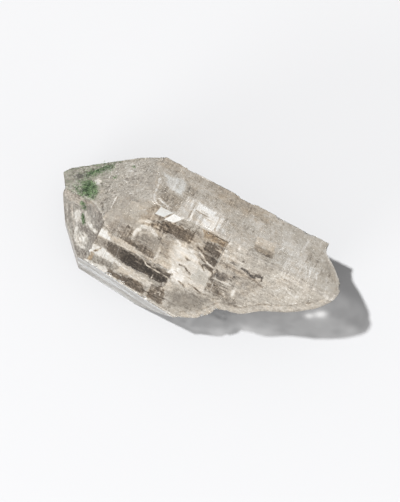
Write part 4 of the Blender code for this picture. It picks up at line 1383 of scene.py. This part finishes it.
    def relief(self, points: np.ndarray) -> np.ndarray:
        """How far each point moves out: layered grain, and growth steps that cross the stone.

        The steps are noise that changes fast along the stone and slowly across it.

        Args:
            points: x, y and z of each point.

        Returns:
            A height for each point, in millimetres.
        """
        grain = layered_noise(points * 1.1, 11)
        steps = layered_noise(points * np.array([1.7, 0.14, 0.14]), 23)
        return self.grain_height * grain + self.striation_height * steps

    def moved(self, points: np.ndarray, faces: np.ndarray, inward: float) -> np.ndarray:
        """The points moved along their normals by the relief, less a way inward, and kept off the ground."""
        out = points + point_normals(points, faces) * (self.relief(points) - inward)[:, None]
        return np.column_stack([out[:, :2], np.maximum(out[:, 2], inward)])

    def shell(self, name: str, solid: Mesh, limit: Callable[[np.ndarray], np.ndarray], inward: float,
              material: bpy.types.Material, wanted: tuple[str, ...]) -> bpy.types.Object:
        """Builds one closed surface that follows the solid.

        Args:
            name: its name.
            solid: the solid's points and triangles.
            limit: gives the longest edge allowed at each of many places.
            inward: how far inside the solid's surface it lies, in millimetres.
            material: its finish.
            wanted: the numbers of the pattern that it carries.

        Returns:
            The object.
        """
        points, faces = refined(*solid, limit)
        points = self.with_ridge(points)
        masks = self.masks(points, faces)
        piece = mesh_piece(name, self.moved(points, faces, inward), faces, material,
                           {key: masks[key] for key in wanted})
        piece.data.set_sharp_from_angle(angle=math.radians(SHARP_ANGLE))
        return piece

    def build(self, skin: bpy.types.Material, frost: bpy.types.Material) -> None:
        """Builds the skin, which stands in for the solid, and the frost.

        Args:
            skin: the skin's finish.
            frost: the frost's finish.
        """
        solid = self.read()
        body = self.shell("crystal_skin", solid, lambda places: np.full(len(places), self.skin_edge), 0.0, skin,
                          ("frost", "striation"))
        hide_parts("crystal")
        self.shell("frost_veil", solid, self.veil_limit, self.frost_depth, frost,
                   (*SETTINGS[:-1], "layers", "passing"))


# Places along and across each inner plane
PLANE_GRID = (22, 12)


@dataclass(frozen=True)
class InnerPlane:
    """One thin plane inside the stone, under a face: x and y of its four corners, depth, strength and tilt."""

    face: Face
    corners: tuple[float, ...]
    depth: float
    strength: float = 1.0
    tilt: float = 0.0

    def surface(self) -> Surface:
        """A gently waved grid between the four corners.

        Each place is the corners blended by its two parameters; its depth has a slow wave and a tilt
        along the stone added. The rim is the shortest distance to the four sides.

        Returns:
            Points, four-sided faces and the attributes.
        """
        u, v = (a.ravel() for a in np.meshgrid(*(np.linspace(0, 1, n) for n in PLANE_GRID), indexing="ij"))
        a, b, c, d = pairs(self.corners)
        plan = (np.outer((1 - u) * (1 - v), a) + np.outer(u * (1 - v), b) + np.outer(u * v, c)
                + np.outer((1 - u) * v, d))
        wave = layered_noise(np.column_stack([plan * 0.35, np.full(len(plan), self.depth * 3.1)]), 5)
        depth = self.depth * (1 + 0.25 * wave) + self.tilt * (u - 0.5)
        points = self.face.under(plan, depth)
        long_way = (np.linalg.norm(b - a) + np.linalg.norm(c - d)) / 2
        short_way = (np.linalg.norm(d - a) + np.linalg.norm(c - b)) / 2
        rim = np.minimum(np.minimum(u, 1 - u) * long_way, np.minimum(v, 1 - v) * short_way * 1.15)
        number = np.arange(len(plan)).reshape(PLANE_GRID)
        faces = np.stack([number[:-1, :-1], number[1:, :-1], number[1:, 1:], number[:-1, 1:]], axis=-1)
        return points, faces.reshape(-1, 4), {"rim": rim, "strength": np.full(len(points), self.strength)}


def joined(parts: list[Surface]) -> Surface:
    """Puts several surfaces into one list of points and faces.

    Args:
        parts: points, faces and attributes of each.

    Returns:
        The joined points, faces and attributes.
    """
    starts = np.cumsum([0] + [len(p) for p, _, _ in parts])
    points = np.vstack([p for p, _, _ in parts])
    faces = np.vstack([f + start for (_, f, _), start in zip(parts, starts)])
    return points, faces, {k: np.concatenate([a[k] for _, _, a in parts]) for k in parts[0][2]}


@dataclass(frozen=True)
class PlaneSet:
    """A family of thin planes inside the stone that share one finish and are one piece."""

    name: str
    finish: PlaneFinish
    planes: tuple[InnerPlane, ...]

    def build(self, rim: bpy.types.NodeTree) -> bpy.types.Object:
        """Joins the surfaces and dresses them; rim is the shared ragged rim group."""
        points, faces, attributes = joined([plane.surface() for plane in self.planes])
        return mesh_piece(self.name, points, faces, self.finish.build(rim), attributes)


M, U, C = Face.MAIN, Face.UPPER, Face.CLEAR
PLANE_SETS = (
    # Dark planes deep under the clear faces: partly smoky inclusions and partly painted shade, as the window shows
    # the shade under the stone
    PlaneSet("smoke_and_shade_planes", PlaneFinish("smoke_and_shade_plane", (0.030, 0.023, 0.018), (0.17, 0.13, 0.10), balance=0.54), (
        InnerPlane(M, (24, -13.4, 44.5, -13.3, 43.9, -17.7, 24.7, -17), 2.4),
        InnerPlane(M, (27.4, -19.6, 38.9, -19, 40.1, -21.3, 27.1, -21.1), 1.8),
        InnerPlane(M, (46.2, -2.3, 53.6, -2.2, 53.4, -8, 47.3, -7.9), 2.2),
        InnerPlane(M, (33, -3, 43, -2.6, 42, -7, 32, -7.4), 3.4, 0.8),
        InnerPlane(C, (14.2, -9.8, 20.9, -11.2, 19.8, -16.9, 15.3, -13.9), 1.8, 0.9),
    )),
    # Brown and amber planes under the middle of the stone
    PlaneSet("amber_planes", PlaneFinish("amber_plane", (0.11, 0.075, 0.048), (0.42, 0.32, 0.22), least=0.35,
                                         ragged=0.9), (
        InnerPlane(M, (28.6, -7, 38.8, -7, 38.9, -13.3, 28.4, -13.4), 2.8, 0.8),
        InnerPlane(M, (44, -1.8, 54, -1.7, 53.8, -4.7, 45, -5), 3.6, 0.8),
        InnerPlane(M, (22, -17.8, 31.5, -18.2, 31.1, -20.6, 21.9, -20.4), 1.6, 0.3),
    )),
    # White healed fractures that hang across the stone's inside and catch the light
    PlaneSet("white_veils", PlaneFinish("white_veil", (0.62, 0.57, 0.51), (0.97, 0.955, 0.93), least=0.3,
                                        soft=0.8, ragged=1.2, balance=0.45), (
        InnerPlane(M, (38, -6, 53, -8, 52, -15.5, 39, -14.5), 1.6, 0.9, 2.4),
        InnerPlane(M, (23, -9, 40, -9.6, 39, -16.5, 23, -15), 4.2, 0.7, -2),
        InnerPlane(M, (40, -13, 58, -11.6, 55, -19, 41, -20.5), 3.2, 0.7, 1.5),
        InnerPlane(M, (21, -15.6, 33, -16.6, 32, -20, 21, -19.4), 1.5, 0.8),
        InnerPlane(C, (8, -9, 15, -9.4, 18.5, -17.4, 12, -15.5), 1.4, 0.8, 0.8),
        InnerPlane(U, (30, 1, 56, 1, 55, 9, 30, 9), 3, 0.6, 2),
    )),
)


@dataclass
class Chlorite:
    """Green chlorite grown in near the tip, as thousands of small flakes."""

    flake_size: Span = (0.12, 0.42)
    clumps: int = 18
    clump_spread: float = 0.8
    flake_spread: float = 0.42
    highest: float = 0.05
    depth_spread: float = 0.216
    patchiness: float = 0.70
    seed: int = 17
    finish: ChloriteFinish = ChloriteFinish()
    tufts: tuple[ChloriteTuft, ...] = TUFTS

    def build(self) -> bpy.types.Object:
        """Scatters the flakes of every tuft and dresses them as one piece.

        Each flake is a four-sided leaf: a middle place, and two crossed half axes turned at random. The
        places are spread as bell curves about clumps near the path, and the depth grows from the skin.

        Returns:
            The object.
        """
        rng = np.random.default_rng(self.seed)
        middles, shades = [], []
        for tuft in self.tufts:
            given = pairs(tuft.path)
            t = rng.uniform(0, len(given) - 1, tuft.flakes)
            plan = np.column_stack([np.interp(t, np.arange(len(given)), given[:, i]) for i in range(2)])
            clumps = rng.normal(size=(self.clumps, 2)) * tuft.spread * self.clump_spread
            away = clumps[rng.integers(self.clumps, size=tuft.flakes)]
            away = away + rng.normal(size=(tuft.flakes, 2)) * tuft.spread * self.flake_spread
            depth = np.abs(rng.normal(size=tuft.flakes)) * self.depth_spread - self.highest
            places = tuft.face.under(plan + away, depth)
            beyond = (tuft.face is Face.TIP) & (places[:, 1] < np.interp(places[:, 0], *LEDGE))
            places[beyond] = Face.CLEAR.under(places[beyond, :2], depth[beyond])
            middles.append(places)
            thick = np.linalg.norm(away, axis=1) / (2.4 * tuft.spread)
            patchy = self.patchiness * lattice_noise(np.column_stack([(plan + away) * 1.9, depth]), 71)
            shades.append(np.clip(thick + patchy + rng.normal(size=tuft.flakes) * 0.20, 0, 1))
        middle, shade = np.vstack(middles), np.concatenate(shades)
        axes = rng.normal(size=(2, len(middle), 3))
        axes /= np.linalg.norm(axes, axis=2, keepdims=True)
        size = rng.uniform(*self.flake_size, (2, len(middle), 1)) / 2
        long_axis, short_axis = axes * size
        points = np.stack([middle - long_axis, middle - short_axis, middle + long_axis, middle + short_axis], axis=1)
        faces = np.arange(len(middle) * 4).reshape(-1, 4)
        return mesh_piece("chlorite_tufts", points.reshape(-1, 3), faces, self.finish.build(),
                          {"shade": np.repeat(shade, 4)}, smooth=False)


@dataclass
class Studio:
    """The pale floor, the lights and the camera.

    Lengths are in metres, angles in degrees, and the focal length in rows of the picture. A fill is a
    place and a power.
    """

    floor_colour: Colour = (0.592, 0.595, 0.604)
    floor_half_side: float = 3.0
    sun_from: Triple = (-0.42, -0.04, 1.0)
    sun_strength: float = 4.0
    sun_spread: float = 2.6
    sky_colour: Colour = (1.0, 0.98, 0.97)
    sky_strength: float = 0.28
    fills: tuple[tuple[Triple, float], ...] = (
        ((-0.32, -0.80, 0.09), 6.5), ((0.86, 0.02, 0.10), 2.0),
    )
    fill_size: float = 0.5
    azimuth: float = 28.4
    elevation: float = 79.5
    distance: float = 0.55
    focal_length: float = 1964.3
    aim: Triple = (0.0029, 0.00114, 0.01385)
    frame_height: int = 502
    sensor_width: float = 36.0

    def build_floor(self) -> None:
        """Builds the floor."""
        material, nodes = new_material("pale_floor")
        nodes.finish({"Base Color": (*self.floor_colour, 1.0), "Roughness": 0.9, "Specular IOR Level": 0.1})
        s = self.floor_half_side
        mesh = bpy.data.meshes.new("floor")
        mesh.from_pydata([(-s, -s, 0), (s, -s, 0), (s, s, 0), (-s, s, 0)], [], [(0, 1, 2, 3)])
        mesh.materials.append(material)
        floor = add_object("floor", mesh)

    def build_lights(self) -> None:
        """Builds an even sky, one sun high on the tip's side, and soft lights low at the near side and the break."""
        world = bpy.data.worlds.new("studio")
        bpy.context.scene.world = world
        world.use_nodes = True
        nodes = Nodes(world.node_tree)
        sky = nodes.add("ShaderNodeBackground", {"Color": (*self.sky_colour, 1.0), "Strength": self.sky_strength})
        nodes.add("ShaderNodeOutputWorld", {"Surface": sky.outputs[0]})
        sun = bpy.data.lights.new("key", "SUN")
        sun.energy, sun.angle = self.sun_strength, math.radians(self.sun_spread)
        add_object("key", sun, back=self.sun_from)
        for number, (place, power) in enumerate(self.fills):
            fill = bpy.data.lights.new(f"fill_{number}", "AREA")
            fill.energy, fill.size = power, self.fill_size
            add_object(fill.name, fill, place, place)

    def build_camera(self) -> None:
        """Builds the camera at the photograph's angle, aimed at a place near the stone's middle."""
        data = bpy.data.cameras.new("camera")
        data.sensor_width = self.sensor_width
        data.lens = self.focal_length * data.sensor_width / self.frame_height
        data.clip_start, data.clip_end = 0.01, 20.0
        turn, rise = math.radians(self.azimuth), math.radians(self.elevation)
        back = Vector((math.sin(turn) * math.cos(rise), -math.cos(turn) * math.cos(rise), math.sin(rise)))
        bpy.context.scene.camera = add_object("camera", data, Vector(self.aim) + back * self.distance, back)

    def build(self) -> None:
        """Builds all of it and sets how colours are shown and how often light may pass through."""
        self.build_floor()
        self.build_lights()
        self.build_camera()
        scene = bpy.context.scene
        scene.view_settings.view_transform = "Standard"
        scene.cycles.transparent_max_bounces = 32
        scene.cycles.max_bounces = 16
        scene.cycles.transmission_bounces = 16
        scene.cycles.caustics_refractive = False
        scene.cycles.caustics_reflective = False


def main() -> None:
    """Builds every piece."""
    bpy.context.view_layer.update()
    grain, rim = grain_group(), fade_group()
    CrystalSkin().build(QuartzFinish().build(grain), FrostFinish().build(grain))
    for planes in PLANE_SETS:
        planes.build(rim)
    Chlorite().build()
    Studio().build()
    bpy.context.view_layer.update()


if __name__ == "__main__":
    main()
